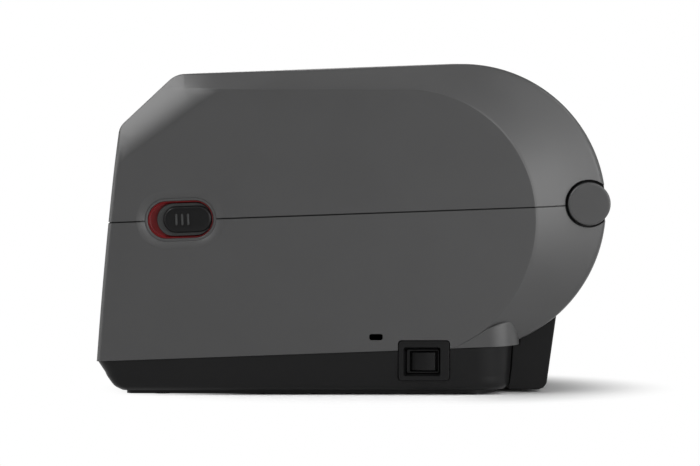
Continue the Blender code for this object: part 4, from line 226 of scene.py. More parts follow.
# Floor, background and camera
# The floor's colour for camera rays, darkened behind the object: a painted shadow, given as a stretch of y and
# its two colours
PAINTED_SHADOW_Y, PAINTED_SHADOW_COLOURS = (0.04, 0.115), (0.83, 0.47)
FADE_SQUEEZE, FADE_SHIFT, FADE_REACH = (1.9, 1.44, 1), (-0.0855, -0.028, 0), (0.13, 0.252)
DIM_STRENGTH, MIRRORED_WHITE = 0.145, 0.25
CAMERA_TARGET, CAMERA_RISE, CAMERA_DISTANCE = (HALF_WIDTH, -0.00226, 0.0945), math.radians(2.5), 2.25

# Lights: name, place, target, width, height, power
MIDDLE = (0, 0, 0.1)
LIGHTS = (
    ("top", (0.3, 0.1, 1.5), MIDDLE, 1.2, 1.2, 3),
    ("key", (0.46, -0.68, 0.88), (0.08, -0.12, 0.14), 0.5, 0.4, 8),
    ("front", (0.30, -1.28, 0.34), MIDDLE, 1.3, 0.6, 7.5),
    ("back", (0.2, 1.28, 0.36), MIDDLE, 1.5, 0.6, 3),
    ("back_top", (0.2, 0.95, 0.95), MIDDLE, 0.6, 0.5, 4.5),
    ("near_rear", (0.45, 0.38, 0.30), (0.08, 0.10, 0.1), 0.3, 0.3, 0.45),
    ("rear_low", (0.62, 0.75, 0.15), (0.05, 0.05, 0.1), 0.5, 0.5, 4.3),
    ("side_low", (1.1, 0.6, 0.12), MIDDLE, 0.4, 0.3, 1.5),
    ("side_top", (1.1, 0.35, 0.9), MIDDLE, 0.5, 0.5, 1.8),
    ("left", (-1.6, -0.5, 0.7), MIDDLE, 1.0, 1.0, 6.5),
)

BODY = Matrix.Translation((0, SEAM_Y, SEAM_Z)) @ Matrix.Rotation(TILT, 4, "X")
FACET = BODY @ Matrix.Translation((0, *FACET_CENTRE)) @ Matrix.Rotation(FACET_ANGLE, 4, "X")
WORLD = Matrix.Identity(4)


# Materials


def wire(tree, source, target):
    tree.links.new(source, target)


def surface(name, colour, roughness, grain=0.4, bump=0.1, uneven=0.06, metallic=0.0, coat=0.0, sheen=1.0):
    """A moulded or ground surface: fine grain in millimetres, with slight changes of colour and gloss."""
    made = bpy.data.materials.new(name)
    made.use_nodes = True
    made.diffuse_color = (*colour, 1)
    tree = made.node_tree
    shader = tree.nodes["Principled BSDF"]
    shader.inputs["Metallic"].default_value = metallic
    shader.inputs["Coat Weight"].default_value = coat
    shader.inputs["Specular IOR Level"].default_value = 0.5 * sheen
    place = tree.nodes.new("ShaderNodeTexCoord").outputs["Object"]
    fine = tree.nodes.new("ShaderNodeTexNoise")
    fine.inputs["Scale"].default_value = 1000 / grain
    fine.inputs["Detail"].default_value = 3
    wire(tree, place, fine.inputs["Vector"])
    relief = tree.nodes.new("ShaderNodeBump")
    relief.inputs["Strength"].default_value = bump
    relief.inputs["Distance"].default_value = grain * 0.0003
    wire(tree, fine.outputs["Fac"], relief.inputs["Height"])
    wire(tree, relief.outputs["Normal"], shader.inputs["Normal"])
    broad = tree.nodes.new("ShaderNodeTexNoise")
    broad.inputs["Scale"].default_value = 35
    broad.inputs["Detail"].default_value = 4
    wire(tree, place, broad.inputs["Vector"])
    tint = tree.nodes.new("ShaderNodeValToRGB")
    for stop, position, change in zip(tint.color_ramp.elements, (0.3, 0.7), (1 - uneven, 1 + uneven)):
        stop.position = position
        stop.color = (*(c * change for c in colour), 1)
    wire(tree, broad.outputs["Fac"], tint.inputs["Fac"])
    speck = tree.nodes.new("ShaderNodeMix")
    speck.data_type = "RGBA"
    speck.blend_type = "MULTIPLY"
    speck.inputs["Factor"].default_value = uneven * 2
    wire(tree, tint.outputs["Color"], speck.inputs["A"])
    wire(tree, fine.outputs["Color"], speck.inputs["B"])
    wire(tree, speck.outputs["Result"], shader.inputs["Base Color"])
    gloss = tree.nodes.new("ShaderNodeMapRange")
    gloss.inputs["To Min"].default_value = roughness * (1 - uneven)
    gloss.inputs["To Max"].default_value = min(1, roughness * (1 + uneven))
    wire(tree, broad.outputs["Fac"], gloss.inputs["Value"])
    wire(tree, gloss.outputs["Result"], shader.inputs["Roughness"])
    return made


LOOKS = {
    "grey": surface("grey_plastic", (0.036, 0.036, 0.0364), 0.39, 0.35, 0.10, 0.03, sheen=0.8),
    "black": surface("black_plastic", (0.0035, 0.0035, 0.0037), 0.38, 0.4, 0.10, 0.05, sheen=0.30),
    "inner": surface("inner_plastic", (0.022, 0.022, 0.0225), 0.5, 0.5, 0.10, 0.05, sheen=0.6),
    "red": surface("red_plastic", (0.120, 0.0048, 0.0062), 0.45, 0.3, 0.06, 0.04, sheen=0.4),
    "gloss": surface("gloss_panel", (0.006, 0.006, 0.007), 0.30, 2.0, 0.01, 0.05, sheen=0.5),
    "lens": surface("clear_lens", (0.48, 0.57, 0.54), 0.18, 0.8, 0.03, 0.04, coat=0.3),
    "rubber": surface("rubber", (0.014, 0.014, 0.014), 0.78, 0.25, 0.25, 0.08),
    "steel": surface("steel", (0.52, 0.53, 0.54), 0.28, 0.2, 0.06, 0.05, metallic=1),
    "zinc": surface("zinc_plate", (0.60, 0.61, 0.62), 0.38, 0.8, 0.08, 0.06, metallic=1),
    "aluminium": surface("aluminium", (0.66, 0.67, 0.69), 0.42, 0.5, 0.15, 0.05, metallic=1),
    "gear": surface("gear_resin", (0.70, 0.67, 0.58), 0.42, 0.5, 0.04, 0.03),
    "ceramic": surface("ceramic", (0.36, 0.33, 0.27), 0.22, 0.6, 0.03, 0.03, coat=0.3),
    "board": surface("board", (0.008, 0.085, 0.035), 0.35, 1.2, 0.10, 0.12, coat=0.2),
}
# The slider plate's own dark grey; the ribs take it too, as a painted highlight along them.
PLATE_GREY_AND_RIB_HIGHLIGHT = surface("dark_grey_plastic_and_rib_highlight", (0.021, 0.022, 0.022), 0.42, 0.4, 0.10, 0.05, sheen=0.7)


# Objects and meshes


def placed(name, data):
    """A new object of the scene."""
    made = bpy.data.objects.new(name, data)
    bpy.context.scene.collection.objects.link(made)
    return made


def mesh_from(bm, place=WORLD):
    mesh = bpy.data.meshes.new("shape")
    bmesh.ops.recalc_face_normals(bm, faces=bm.faces)
    bm.to_mesh(mesh)
    bm.free()
    mesh.transform(place)
    return mesh


def holder_of(mesh):
    return placed("holder", mesh)


def baked(holder):
    """The holder's mesh with its modifiers applied."""
    bpy.context.view_layer.update()
    graph = bpy.context.evaluated_depsgraph_get()
    mesh = bpy.data.meshes.new_from_object(holder.evaluated_get(graph))
    bpy.data.objects.remove(holder, do_unlink=True)
    return mesh


def combined(mesh, operation, *others):
    """The mesh with other meshes taken away or added, one after another."""
    target = holder_of(mesh)
    helpers = []
    for other in others:
        helper = holder_of(other)
        helpers.append(helper)
        modifier = target.modifiers.new("step", "BOOLEAN")
        modifier.operation = operation
        modifier.solver = "EXACT"
        modifier.object = helper
    mesh = baked(target)
    for helper in helpers:
        bpy.data.objects.remove(helper, do_unlink=True)
    return mesh


def cut(mesh, *others):
    return combined(mesh, "DIFFERENCE", *others)


def add(mesh, *others):
    return combined(mesh, "UNION", *others)


def together(*meshes):
    """Several closed meshes as one, without a Boolean."""
    bm = bmesh.new()
    for mesh in meshes:
        bm.from_mesh(mesh)
    found = bpy.data.meshes.new("shape")
    bm.to_mesh(found)
    bm.free()
    return found


def soften(holder, width, segments=2, angle=35):
    """Rounds the edges that turn by more than an angle in degrees."""
    edge = holder.modifiers.new("edge", "BEVEL")
    edge.width = width
    edge.segments = segments
    edge.limit_method = "ANGLE"
    edge.angle_limit = math.radians(angle)


def piece(name, mesh, slot, body, *nodes, sharp=30):
    """A finished piece of the scene, which stands for the CAD nodes that are named."""
    mesh.materials.clear()
    mesh.materials.append(LOOKS[slot])
    mesh.shade_smooth()
    mesh.set_sharp_from_angle(angle=math.radians(sharp))
    made = placed(name, mesh)
    made.modifiers.new("even", "WEIGHTED_NORMAL").keep_sharp = True
    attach(made, body)
    if nodes:
        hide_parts(*nodes)
    return made


# Outlines and simple solids


def clamp(value):
    return max(0, min(1, value))


def between(first, second, share):
    return tuple(a + (b - a) * share for a, b in zip(first, second))


def heading(points, i):
    """The direction in which a line of points runs at one of them."""
    return Vector(points[min(i + 1, len(points) - 1)]) - Vector(points[max(i - 1, 0)])


def arc(centre, radius, start, end, steps):
    angles = [start + (end - start) * i / steps for i in range(steps + 1)]
    return [(centre[0] + radius * math.cos(a), centre[1] + radius * math.sin(a)) for a in angles]


def circle(centre, radius, steps):
    return arc(centre, radius, 0, WHOLE_TURN, steps)[:-1]


def arc_through(first, middle, last, steps):
    a, b, c = Vector(first), Vector(middle), Vector(last)
    ab, ac = b - a, c - a
    cross = 2 * ab.cross(ac)
    across = ac.y * ab.length_squared - ab.y * ac.length_squared
    along = ab.x * ac.length_squared - ac.x * ab.length_squared
    offset = Vector((across, along)) / cross
    centre = a + offset
    start = math.atan2(*(a - centre).yx)
    turn = math.remainder(math.atan2(*(c - centre).yx) - start, WHOLE_TURN)
    return arc(centre, offset.length, start, start + turn, steps)


def fillet(before, corner, after, radius, steps):
    """The arc that rounds a corner between two points."""
    corner = Vector(corner)
    back = (Vector(before) - corner).normalized()
    ahead = (Vector(after) - corner).normalized()
    half_angle = back.angle(ahead) / 2
    centre = corner + (back + ahead).normalized() * radius / math.sin(half_angle)
    reach = radius / math.tan(half_angle)
    start = corner + back * reach - centre
    end = corner + ahead * reach - centre
    first = math.atan2(start.y, start.x)
    turn = math.remainder(math.atan2(end.y, end.x) - first, WHOLE_TURN)
    return arc(centre, radius, first, first + turn, steps)


def rectangle(width, height, radius, steps=6):
    """A rounded rectangle about the origin."""
    found = []
    for i in range(4):
        turn = QUARTER_TURN * i
        x = (width / 2 - radius) * (1 if i in (0, 3) else -1)
        y = (height / 2 - radius) * (1 if i in (0, 1) else -1)
        found += arc((x, y), radius, turn, turn + QUARTER_TURN, steps)
    return found


def pill(length, height, steps=24):
    run = (length - height) / 2
    right = arc((run, 0), height / 2, -QUARTER_TURN, QUARTER_TURN, steps)
    return right + [(-a, -b) for a, b in right]


def bezier(a, b, c, d, steps):
    found = []
    for i in range(steps + 1):
        t = i / steps
        s = 1 - t
        found.append(a * s**3 + b * 3 * s * s * t + c * 3 * s * t * t + d * t**3)
    return found


def lofted(rings, closed=True, around=False):
    """Quads between rings of points of one length, with the ends capped or joined to each other."""
    bm = bmesh.new()
    rows = [[bm.verts.new(p) for p in ring] for ring in rings]
    pairs = list(zip(rows, rows[1:])) + ([(rows[-1], rows[0])] if around else [])
    count = len(rows[0])
    for low, high in pairs:
        for i in range(count):
            j = (i + 1) % count
            bm.faces.new((low[i], low[j], high[j], high[i]))
    if closed and not around:
        bm.faces.new(rows[0])
        bm.faces.new(rows[-1])
    return bm


def side_stack(levels, side, place=(0, 0), at=BODY, around=False):
    """A stack of flat outlines facing +X or -X, as (outline, x), lofted in order."""
    rings = [[(side * x, place[0] + a, place[1] + b) for a, b in outline] for outline, x in levels]
    return mesh_from(lofted(rings, around=around), at)


def side_ring(levels, side, place=(0, 0), at=BODY):
    """Such a stack with its last outline joined to its first."""
    return side_stack(levels, side, place, at, around=True)


def prism(outline, low, high, axis="X", at=BODY):
    """An outline made solid between two values of the axis it is seen along."""
    index = "XYZ".index(axis)
    rings = [[(*point[:index], value, *point[index:]) for point in outline] for value in (low, high)]
    return mesh_from(lofted(rings), at)


def block(x, y, z, at=BODY):
    return prism([(x[0], y[0]), (x[1], y[0]), (x[1], y[1]), (x[0], y[1])], *z, "Z", at)


def turned(profile, at, steps=96):
    """A solid turned about X from (radius, x) points that start and end on the axis."""
    rings = [[(x, a, b) for a, b in circle((0, 0), radius, steps)] for radius, x in profile[1:-1]]
    return mesh_from(lofted(rings), at)


def barrel(radius, half_length, at, steps=96):
    """A cylinder along X."""
    return turned([(0, 0), (radius, -half_length), (radius, half_length), (0, 0)], at, steps)


def axis_at(u, v):
    """The place of an axis that runs across the body."""
    return BODY @ Matrix.Translation((0, u, v))


def to_world(u, v):
    return SEAM_Y + u * TILT_COS - v * TILT_SIN, SEAM_Z + u * TILT_SIN + v * TILT_COS


def lower_edge_z(y):
    """Height of the lower housing's lower edge."""
    u = (y - SEAM_Y - LOWER_DEPTH * TILT_SIN) / TILT_COS
    return to_world(u, -LOWER_DEPTH)[1]


# The shell: one lofted half body, which cover and lower housing take their parts of


def crease_line_v(u):
    """The crease's height over the top of the side face."""
    share = (u - FLARE_LOW_U) / (CREASE_U - FLARE_LOW_U)
    return CREASE_FRONT_V + (CREASE_V + CREASE_R - CREASE_FRONT_V) * share


FLARE_START = Vector((FLARE_LOW_U, FLARE_LOW_V))
FLARE_END = Vector((FLARE_HIGH_U, crease_line_v(FLARE_HIGH_U)))
FLARE_ALONG = (FLARE_END - FLARE_START).normalized()


def flare_share(place):
    away = Vector(place) - FLARE_START
    return max(0, FLARE_ALONG.x * away.y - FLARE_ALONG.y * away.x) / FLARE_REACH


def flare_drop(place):
    """How far the side has turned inward near the front top corner."""
    return FLARE_DROP * flare_share(place) ** FLARE_POWER


def on_side(place, inset):
    """The point of the side face at a place, or of the wall's inner face with an inset."""
    slope = FLARE_POWER * FLARE_DROP / FLARE_REACH * flare_share(place) ** (FLARE_POWER - 1)
    return Vector((HALF_WIDTH - flare_drop(place) - inset * math.hypot(1, slope), place.x, place.y))


def front_outline():
    """The side view's front edge, from below the foot to where the band meets the facet, and that last point."""
    front = arc_through((FOOT_U, -LOWER_DEPTH), (0, 0), FACET_LOW, FRONT_STEPS)
    front = [between(front[0], front[1], -FOOT_LEAD)] + front
    band_share = (CREASE_FRONT_V - FACET_LOW[1]) / (FACET_HIGH[1] - FACET_LOW[1])
    band = between(FACET_LOW, FACET_HIGH, band_share)
    edge = front[:-1] + fillet(front[-2], FACET_LOW, FACET_HIGH, FACET_LOW_R, FILLET_STEPS)
    last = edge[-1]
    return edge + [between(last, band, i / FACET_STEPS) for i in range(1, FACET_STEPS + 1)], band


def stations():
    """Side view outline as (point, inward normal, place on the crease, share of the ring section, its drop)."""
    edge, band = front_outline()
    found = []
    for i, point in enumerate(edge):
        ahead = heading(edge, i)
        place = Vector(point) + Vector((ahead.y, -ahead.x)).normalized() * EDGE_R
        found.append((point, (place.x, min(place.y, crease_line_v(place.x))), 0, 0))
    far = (DRUM_U, TOP_V)
    corner = fillet(FACET_LOW, FACET_HIGH, far, FACET_HIGH_R, FILLET_STEPS)
    first_u, low_first = corner[0][0], band[0] + 2 * EDGE_R
    low_place = (low_first, crease_line_v(low_first))
    start, start_low = found[-1][0], found[-1][1]
    for i in range(1, CORNER_STEPS):
        share = i / CORNER_STEPS
        point = between(start, corner[0], share)
        found.append((point, between(start_low, low_place, share), share, flare_drop(point)))
    for point in corner + [between(corner[-1], far, i / TOP_STEPS) for i in range(1, TOP_STEPS)]:
        share = (point[0] - first_u) / (DRUM_U - first_u)
        u = low_first + (CREASE_U - low_first) * share
        grown = min(1, (point[0] - first_u) / RING_GROWTH)
        drop = flare_drop(point) + RING_DROP * grown * grown * (3 - 2 * grown)
        found.append((point, (u, crease_line_v(u)), 1, drop))
    for point in arc((DRUM_U, DRUM_V), DRUM_R, QUARTER_TURN, -QUARTER_TURN, DRUM_STEPS):
        angle = math.atan2(point[1] - DRUM_V, point[0] - DRUM_U)
        high_r = CREASE_R if angle > 0 else CREASE_LOW_R
        place = (CREASE_U + CREASE_R * math.cos(angle), CREASE_V + high_r * math.sin(angle))
        found.append((point, place, 1, RING_DROP))
    point, place = found[-1][:2]
    found.append(((point[0], point[1] - 2 * OVERRUN), (place[0], place[1] - 2 * OVERRUN), 1, RING_DROP))
    points = [row[0] for row in found]
    # The drum's lowest point looks straight down, and the last station has no normal
    ends = {len(points) - 2: Vector((-1, 0)), len(points) - 1: Vector((0, 0))}
    with_normals = []
    for i, (point, *rest) in enumerate(found):
        ahead = ends[i] if i in ends else heading(points, i)
        with_normals.append((point, Vector((ahead.y, -ahead.x)).normalized(), *rest))
    return with_normals


def blended(first, second, share):
    return [a.lerp(b, share) for a, b in zip(first, second)]


def rounded(corner, before, after, bend, steps=6):
    return bezier(before, before.lerp(corner, bend), after.lerp(corner, bend), after, steps)


def ring_fall(share, reach, most, hollow, crisp):
    """How far the ring lies inward at a share of its width: a small quick step, then a slope that eases off."""
    step = STEP_DEPTH * crisp
    eased_off = 1 - (1 - share) ** (1 + RING_EASE * hollow)
    return (most - step) * eased_off + step * (1 - math.exp(-share * reach / STEP_REACH))


def front_rows(point, low, deep, inward, inset):
    """Rows over the front's edge and along the side face."""
    radius = EDGE_R - (EDGE_R - FACET_EDGE_R) * min(1, flare_drop(point) / FLARE_DROP)
    radius = max(radius - inset, FACET_EDGE_R / 4)
    corner = on_side(deep, inset)
    outer = corner - Vector((radius, 0, 0))
    rest = (low - deep).length + CREASE_SOFT - radius
    rows = [outer - Vector((EDGE_R, 0, 0))]
    rows += rounded(corner, outer, on_side(deep + inward * radius, inset), EDGE_BEND)
    for k in range(1, FRONT_ROWS + 1):
        rows.append(on_side(deep + inward * (radius + rest * k / FRONT_ROWS), inset))
    return rows


def ring_rows(point, low, deep, inward, pull, inset):
    """Rows over the outline's edge, down the band to the crease and just past it."""
    width = (point - low).length
    drop = flare_drop(low)
    lean = math.atan2(pull - drop, width)
    near = low + inward * inset * math.tan(lean / 2)
    bottom = Vector((HALF_WIDTH - drop - inset, near.x, near.y))
    fall = (pull - drop) * (1 - (deep - point).dot(inward) / width)
    corner = Vector((HALF_WIDTH - drop - fall - inset / math.cos(lean), deep.x, deep.y))
    reach = (near - deep).length
    hollow = clamp((point.x - FACET_HIGH[0]) / (DRUM_U - FACET_HIGH[0]))
    crisp = hollow * clamp(1 + low.y / CREASE_R)

    def spot(away):
        part = away / reach
        place = bottom.lerp(corner, part)
        place.x = bottom.x - ring_fall(part, reach, bottom.x - corner.x, hollow, crisp)
        return place

    edge = FACET_EDGE_R + (RING_EDGE - FACET_EDGE_R) * min(1, 2 * hollow)
    rim, before = spot(reach - edge), spot(reach - 2 * edge)
    tip = 2 * rim - before
    outer = tip - Vector((edge, 0, 0))
    rows = [outer - Vector((RING_EDGE, 0, 0))]
    rows += rounded(tip, outer, rim, RING_BEND)
    rows += [spot((reach - edge) * part) for part in RING_ROWS]
    rows += [spot(CREASE_CRISP * k) for k in CREASE_ROWS]
    beside, beyond = (on_side(near + inward * d, inset) for d in (CREASE_CRISP, CREASE_SOFT))
    return rows + [(rows[-1] + 2 * bottom + beside) / 4, beside, beyond]


def station_rows(point, normal, low, share, pull, inset):
    """The half section at one station: from the middle plane over the edge to the crease and just past it."""
    point, low = Vector(point), Vector(low)
    inward = (low - point).normalized()
    deep = point + normal * inset
    if share <= 0:
        rows = front_rows(point, low, deep, inward, inset)
    elif share >= 1:
        rows = ring_rows(point, low, deep, inward, pull, inset)
    else:
        front = front_rows(point, low, deep, inward, inset)
        rows = blended(front, ring_rows(point, low, deep, inward, pull, inset), share)
    return [Vector((0, deep.x, deep.y))] + rows


def half_body(inset):
    """The right half of the whole body as one open surface with fine rows."""
    bm = bmesh.new()
    length = (FLARE_END - FLARE_START).length
    columns = []
    for point, normal, low, share, pull in stations():
        rows = station_rows(point, normal, low, share, pull, inset)
        last = rows[-1]
        if low[1] > FLARE_LOW_V and low[0] < FLARE_HIGH_U:
            along = max(0, min(length, (Vector(low) - FLARE_START).dot(FLARE_ALONG)))
            inner = FLARE_START + FLARE_ALONG * along
            start = Vector((last.y, last.z))
            rows += [on_side(start.lerp(inner, k / FLARE_ROWS), inset) for k in range(1, FLARE_ROWS + 1)]
        else:
            rows += [last] * FLARE_ROWS
        column = []
        for spot in rows:
            same = column and (column[-1].co - spot).length < WELD
            column.append(column[-1] if same else bm.verts.new(spot))
        columns.append(column)
    for left, right in zip(columns, columns[1:]):
        for k in range(len(left) - 1):
            corners = list(dict.fromkeys((left[k], left[k + 1], right[k + 1], right[k])))
            if len(corners) > 2:
                bm.faces.new(corners)
    bmesh.ops.remove_doubles(bm, verts=bm.verts, dist=WELD)
    inner_loop = [column[-1] for column in columns if column[-1].is_valid]
    bm.faces.new(list(dict.fromkeys(inner_loop)))
    return bm


def body_solid(low_v, high_v, inset=0):
    """The whole body, or with an inset the room inside it, between two planes."""
    bm = half_body(inset)
    for v, above in ((low_v, True), (high_v, False)):
        whole = bm.verts[:] + bm.edges[:] + bm.faces[:]
        bmesh.ops.bisect_plane(
            bm, geom=whole, plane_co=(0, 0, v), plane_no=(0, 0, 1), clear_inner=above, clear_outer=not above
        )
    other = bmesh.ops.duplicate(bm, geom=bm.verts[:] + bm.edges[:] + bm.faces[:])["geom"]
    for vert in other:
        if isinstance(vert, bmesh.types.BMVert):
            vert.co.x = -vert.co.x
    bmesh.ops.remove_doubles(bm, verts=bm.verts, dist=WELD)
    bmesh.ops.holes_fill(bm, edges=[edge for edge in bm.edges if edge.is_boundary], sides=0)
    return mesh_from(bm, BODY)


# Cover and lower housing


def dish(side):
    """The soft hollow round the latch, and the hole that the latch's ring stands in."""
    lift = DISH_LIFT * DISH_SLOPE * DISH_DEPTH
    levels = [(pill(*between(DISH_WIDE, DISH_NARROW, -DISH_LIFT)), HALF_WIDTH + lift)]
    for i in range(DISH_STEPS + 1):
        share = i / DISH_STEPS
        depth = DISH_DEPTH * share * (0.5 + 0.5 * share)
        levels.append((pill(*between(DISH_WIDE, DISH_NARROW, share)), HALF_WIDTH - depth))
    levels.append((pill(*DISH_NARROW), HALF_WIDTH - WALL - OVERRUN))
    return side_stack(levels, side, (LATCH_U, LATCH_V))


def hinge_room():
    """The room for the hinge: wide between the brackets, and close round the caps."""
    place = axis_at(HINGE_U, HINGE_V)
    return barrel(CAP_R + TAIL_GAP, BRACKET_HIGH_X, place), barrel(CAP_R + CAP_GAP, HALF_WIDTH + OVERRUN, place)


def cover():
    mesh = body_solid(SEAM_GAP / 2, TOP_V + OVERRUN)
    room = body_solid(SEAM_GAP / 2 - OVERRUN, TOP_V + OVERRUN, WALL)
    slot = block((-EXIT_HALF, EXIT_HALF), (FOOT_U, LIP_DEPTH), (-EXIT_HEIGHT, EXIT_HEIGHT))
    plate = rectangle(2 * PANEL_HALF + 2 * CLEAR, PANEL_HEIGHT + 2 * CLEAR, PANEL_CORNER, 8)
    recess = prism(plate, -PANEL_T - CLEAR, OVERRUN, "Z", FACET)
    well = prism(circle((FEED_X, 0), FEED_R + CLEAR, 48), -WALL - OVERRUN, OVERRUN, "Z", FACET)
    mesh = cut(mesh, room, slot, *hinge_room(), dish(1), dish(-1), recess, well)
    piece("cover_skin", mesh, "grey", "cover", "cover_shell")


def ledge_v(u):
    """Height of the plinth's top edge, which climbs in an S-curve toward the rear corner."""
    share = clamp((u - LEDGE_LOW_U) / (LEDGE_HIGH_U - LEDGE_LOW_U))
    return LEDGE_LOW_V + (LEDGE_HIGH_V - LEDGE_LOW_V) * share * share * (3 - 2 * share)


def plinth():
    """The foot's rounded corners, standing out below the drum with a soft top edge."""
    outer_x, low_v = HALF_WIDTH - PLINTH_INSET, -LOWER_DEPTH + PLINTH_INSET
    centre = (outer_x - PLINTH_R, PLINTH_REAR_U - PLINTH_R)
    run = [(outer_x, PLINTH_FRONT_U + (centre[1] - PLINTH_FRONT_U) * i / 14) for i in range(14)]
    outer = run + arc(centre, PLINTH_R, 0, QUARTER_TURN, 24)
    outer += [(-x, u) for x, u in reversed(outer)]
    rings = []
    for i, (x, u) in enumerate(outer):
        ahead = heading(outer, i)
        inward = Vector((-ahead.y, ahead.x)).normalized()
        top = ledge_v(u)
        soft = min(LEDGE_R, (top + LOWER_DEPTH) * LEDGE_SHARE)
        section = [(0, low_v)]
        for angle in (0, 0.4, 0.8, 1.2, QUARTER_TURN):
            section.append((soft - soft * math.cos(angle), top - soft + soft * math.sin(angle)))
        section += [(PLINTH_T, top), (PLINTH_T, low_v)]
        rings.append([(x + inward.x * d, u + inward.y * d, v) for d, v in section])
    room = barrel(CRADLE_OUTER_R, CRADLE_X, axis_at(CRADLE_U, CRADLE_V))
    return cut(mesh_from(lofted(rings), BODY), room)


def side_hole(outline, place, low_x):
    """A tool that cuts an upright outline into the right side, from low_x outward."""
    moved = [(place[0] + a, place[1] + b) for a, b in outline]
    return prism(moved, low_x, HALF_WIDTH + OVERRUN, "X", WORLD)


def switch_hole(low_x):
    outline = rectangle(SWITCH_W + 2 * CLEAR, SWITCH_H + 2 * CLEAR, SWITCH_CORNER)
    return side_hole(outline, (SWITCH_Y, SWITCH_Z), low_x)


def housing():
    """The lower housing with its plinth, and a black tongue in the parting line: painted shade that stands for
    the dark gap and hides what lies behind it.
    """
    mesh = body_solid(-LOWER_DEPTH, -SEAM_GAP / 2)
    room = body_solid(-LOWER_DEPTH - OVERRUN / 2, -SEAM_GAP / 2 + OVERRUN, WALL)
    lip = block((-EXIT_HALF - CLEAR, EXIT_HALF + CLEAR), (FOOT_U, LIP_DEPTH), (-EXIT_DROP, EXIT_DROP))
    lock_outline = rectangle(LOCK_LENGTH, LOCK_HEIGHT, LOCK_CORNER)
    lock = side_hole(lock_outline, (LOCK_Y, LOCK_Z), HALF_WIDTH - WALL - OVERRUN)
    notch = switch_hole(SWITCH_FACE_X - SWITCH_DEPTH - CLEAR)
    mesh = add(mesh, plinth())
    # The tongue is black as painted shade in the parting line.
    tongue = body_solid(-SEAM_GAP / 2 + CLEAR / 10, TONGUE_V, TONGUE_INSET)
    rooms = (room, lip, *hinge_room(), dish(1), dish(-1))
    piece("seam_tongue", cut(tongue, *rooms), "black", "base", sharp=40)
    mesh = cut(mesh, *rooms, lock, notch)
    piece("housing_skin", mesh, "grey", "base", "lower_housing")


# Base


def tray_ring(height, side, ahead, behind, loss):
    """The tray's outline at a height, or just under the housing's lower edge where the height is None."""
    front = to_world(FOOT_U, -LOWER_DEPTH)[0] + CLEAR
    half, near, far = TRAY_HALF - side, front + ahead, TRAY_REAR_Y - behind
    front_r, rear_r = TRAY_FRONT_R - loss, TRAY_REAR_R - loss
    right = arc((half - front_r, near + front_r), front_r, -QUARTER_TURN, 0, 12)
    right += arc((half - rear_r, far - rear_r), rear_r, 0, QUARTER_TURN, 16)
    loop = right + [(-x, y) for x, y in reversed(right)]
    return [(x, y, lower_edge_z(y) - CLEAR if height is None else height) for x, y in loop]


def curve_point(before, first, second, after, share):
    """A point between the first and the second row on the smooth curve through all four."""
    found = []
    for a, b, c, d in zip(before, first, second, after):
        bend = (2 * a - 5 * b + 4 * c - d) * share**2 + (3 * b - a - 3 * c + d) * share**3
        found.append(0.5 * (2 * b + (c - a) * share + bend))
    return found


def tray_rings():
    """The outer wall's rings, from the top down to the edge of the floor."""
    rings = [tray_ring(*TRAY_TOP), tray_ring(*TRAY_SHOULDER)]
    last = len(TRAY_KNOTS) - 1
    for i in range(last):
        rows = (TRAY_KNOTS[max(i - 1, 0)], TRAY_KNOTS[i], TRAY_KNOTS[i + 1], TRAY_KNOTS[min(i + 2, last)])
        rings += [tray_ring(*curve_point(*rows, k / TRAY_STEPS)) for k in range(TRAY_STEPS)]
    return rings + [tray_ring(*TRAY_KNOTS[-1])]


def base():
    """The black tray with rounded lower edges, its posts and the rim under its floor."""
    rings = tray_rings()
    bm = lofted(rings, closed=False)
    bm.faces.new(bm.verts[-len(rings[0]) :])
    bmesh.ops.recalc_face_normals(bm, faces=bm.faces)
    bm.verts.ensure_lookup_table()
    floor_face = min(bm.faces, key=lambda face: face.calc_center_median().z)
    if floor_face.normal.z > 0:
        bmesh.ops.reverse_faces(bm, faces=bm.faces)
    mesh = bpy.data.meshes.new("tray")
    bm.to_mesh(mesh)
    bm.free()
    holder = holder_of(mesh)
    wall = holder.modifiers.new("wall", "SOLIDIFY")
    wall.thickness = TRAY_WALL
    wall.offset = -1
    wall.use_even_offset = True
    posts = [
        prism(circle((x, y), POST_R, 24), POST_LOW_Z, POST_HIGH_Z, "Z", WORLD)
        for x in (-POST_X, POST_X)
        for y in (POST_FRONT_Y, POST_REAR_Y)
    ]
    rim = []
    for by, height in TRAY_RIM:
        across, along = 1 - by / RIM_REACH_X, 1 - by / RIM_REACH_Y
        rim.append([(x * across, y * along - RIM_SHIFT, height) for x, y, _ in rings[-1]])
    mesh = cut(baked(holder), switch_hole(TRAY_NOTCH_X))
    mesh = together(mesh, *posts, mesh_from(lofted(rim, around=True)))
    piece("tray_skin", mesh, "black", "base", "base_tray")


def drum_underside(gap, first_y, last_y, steps=12):
    centre = to_world(DRUM_U, DRUM_V)
    radius = DRUM_R + gap
    first = -math.acos((first_y - centre[0]) / radius)
    last = -math.acos((last_y - centre[0]) / radius)
    return arc(centre, radius, first, last, steps)


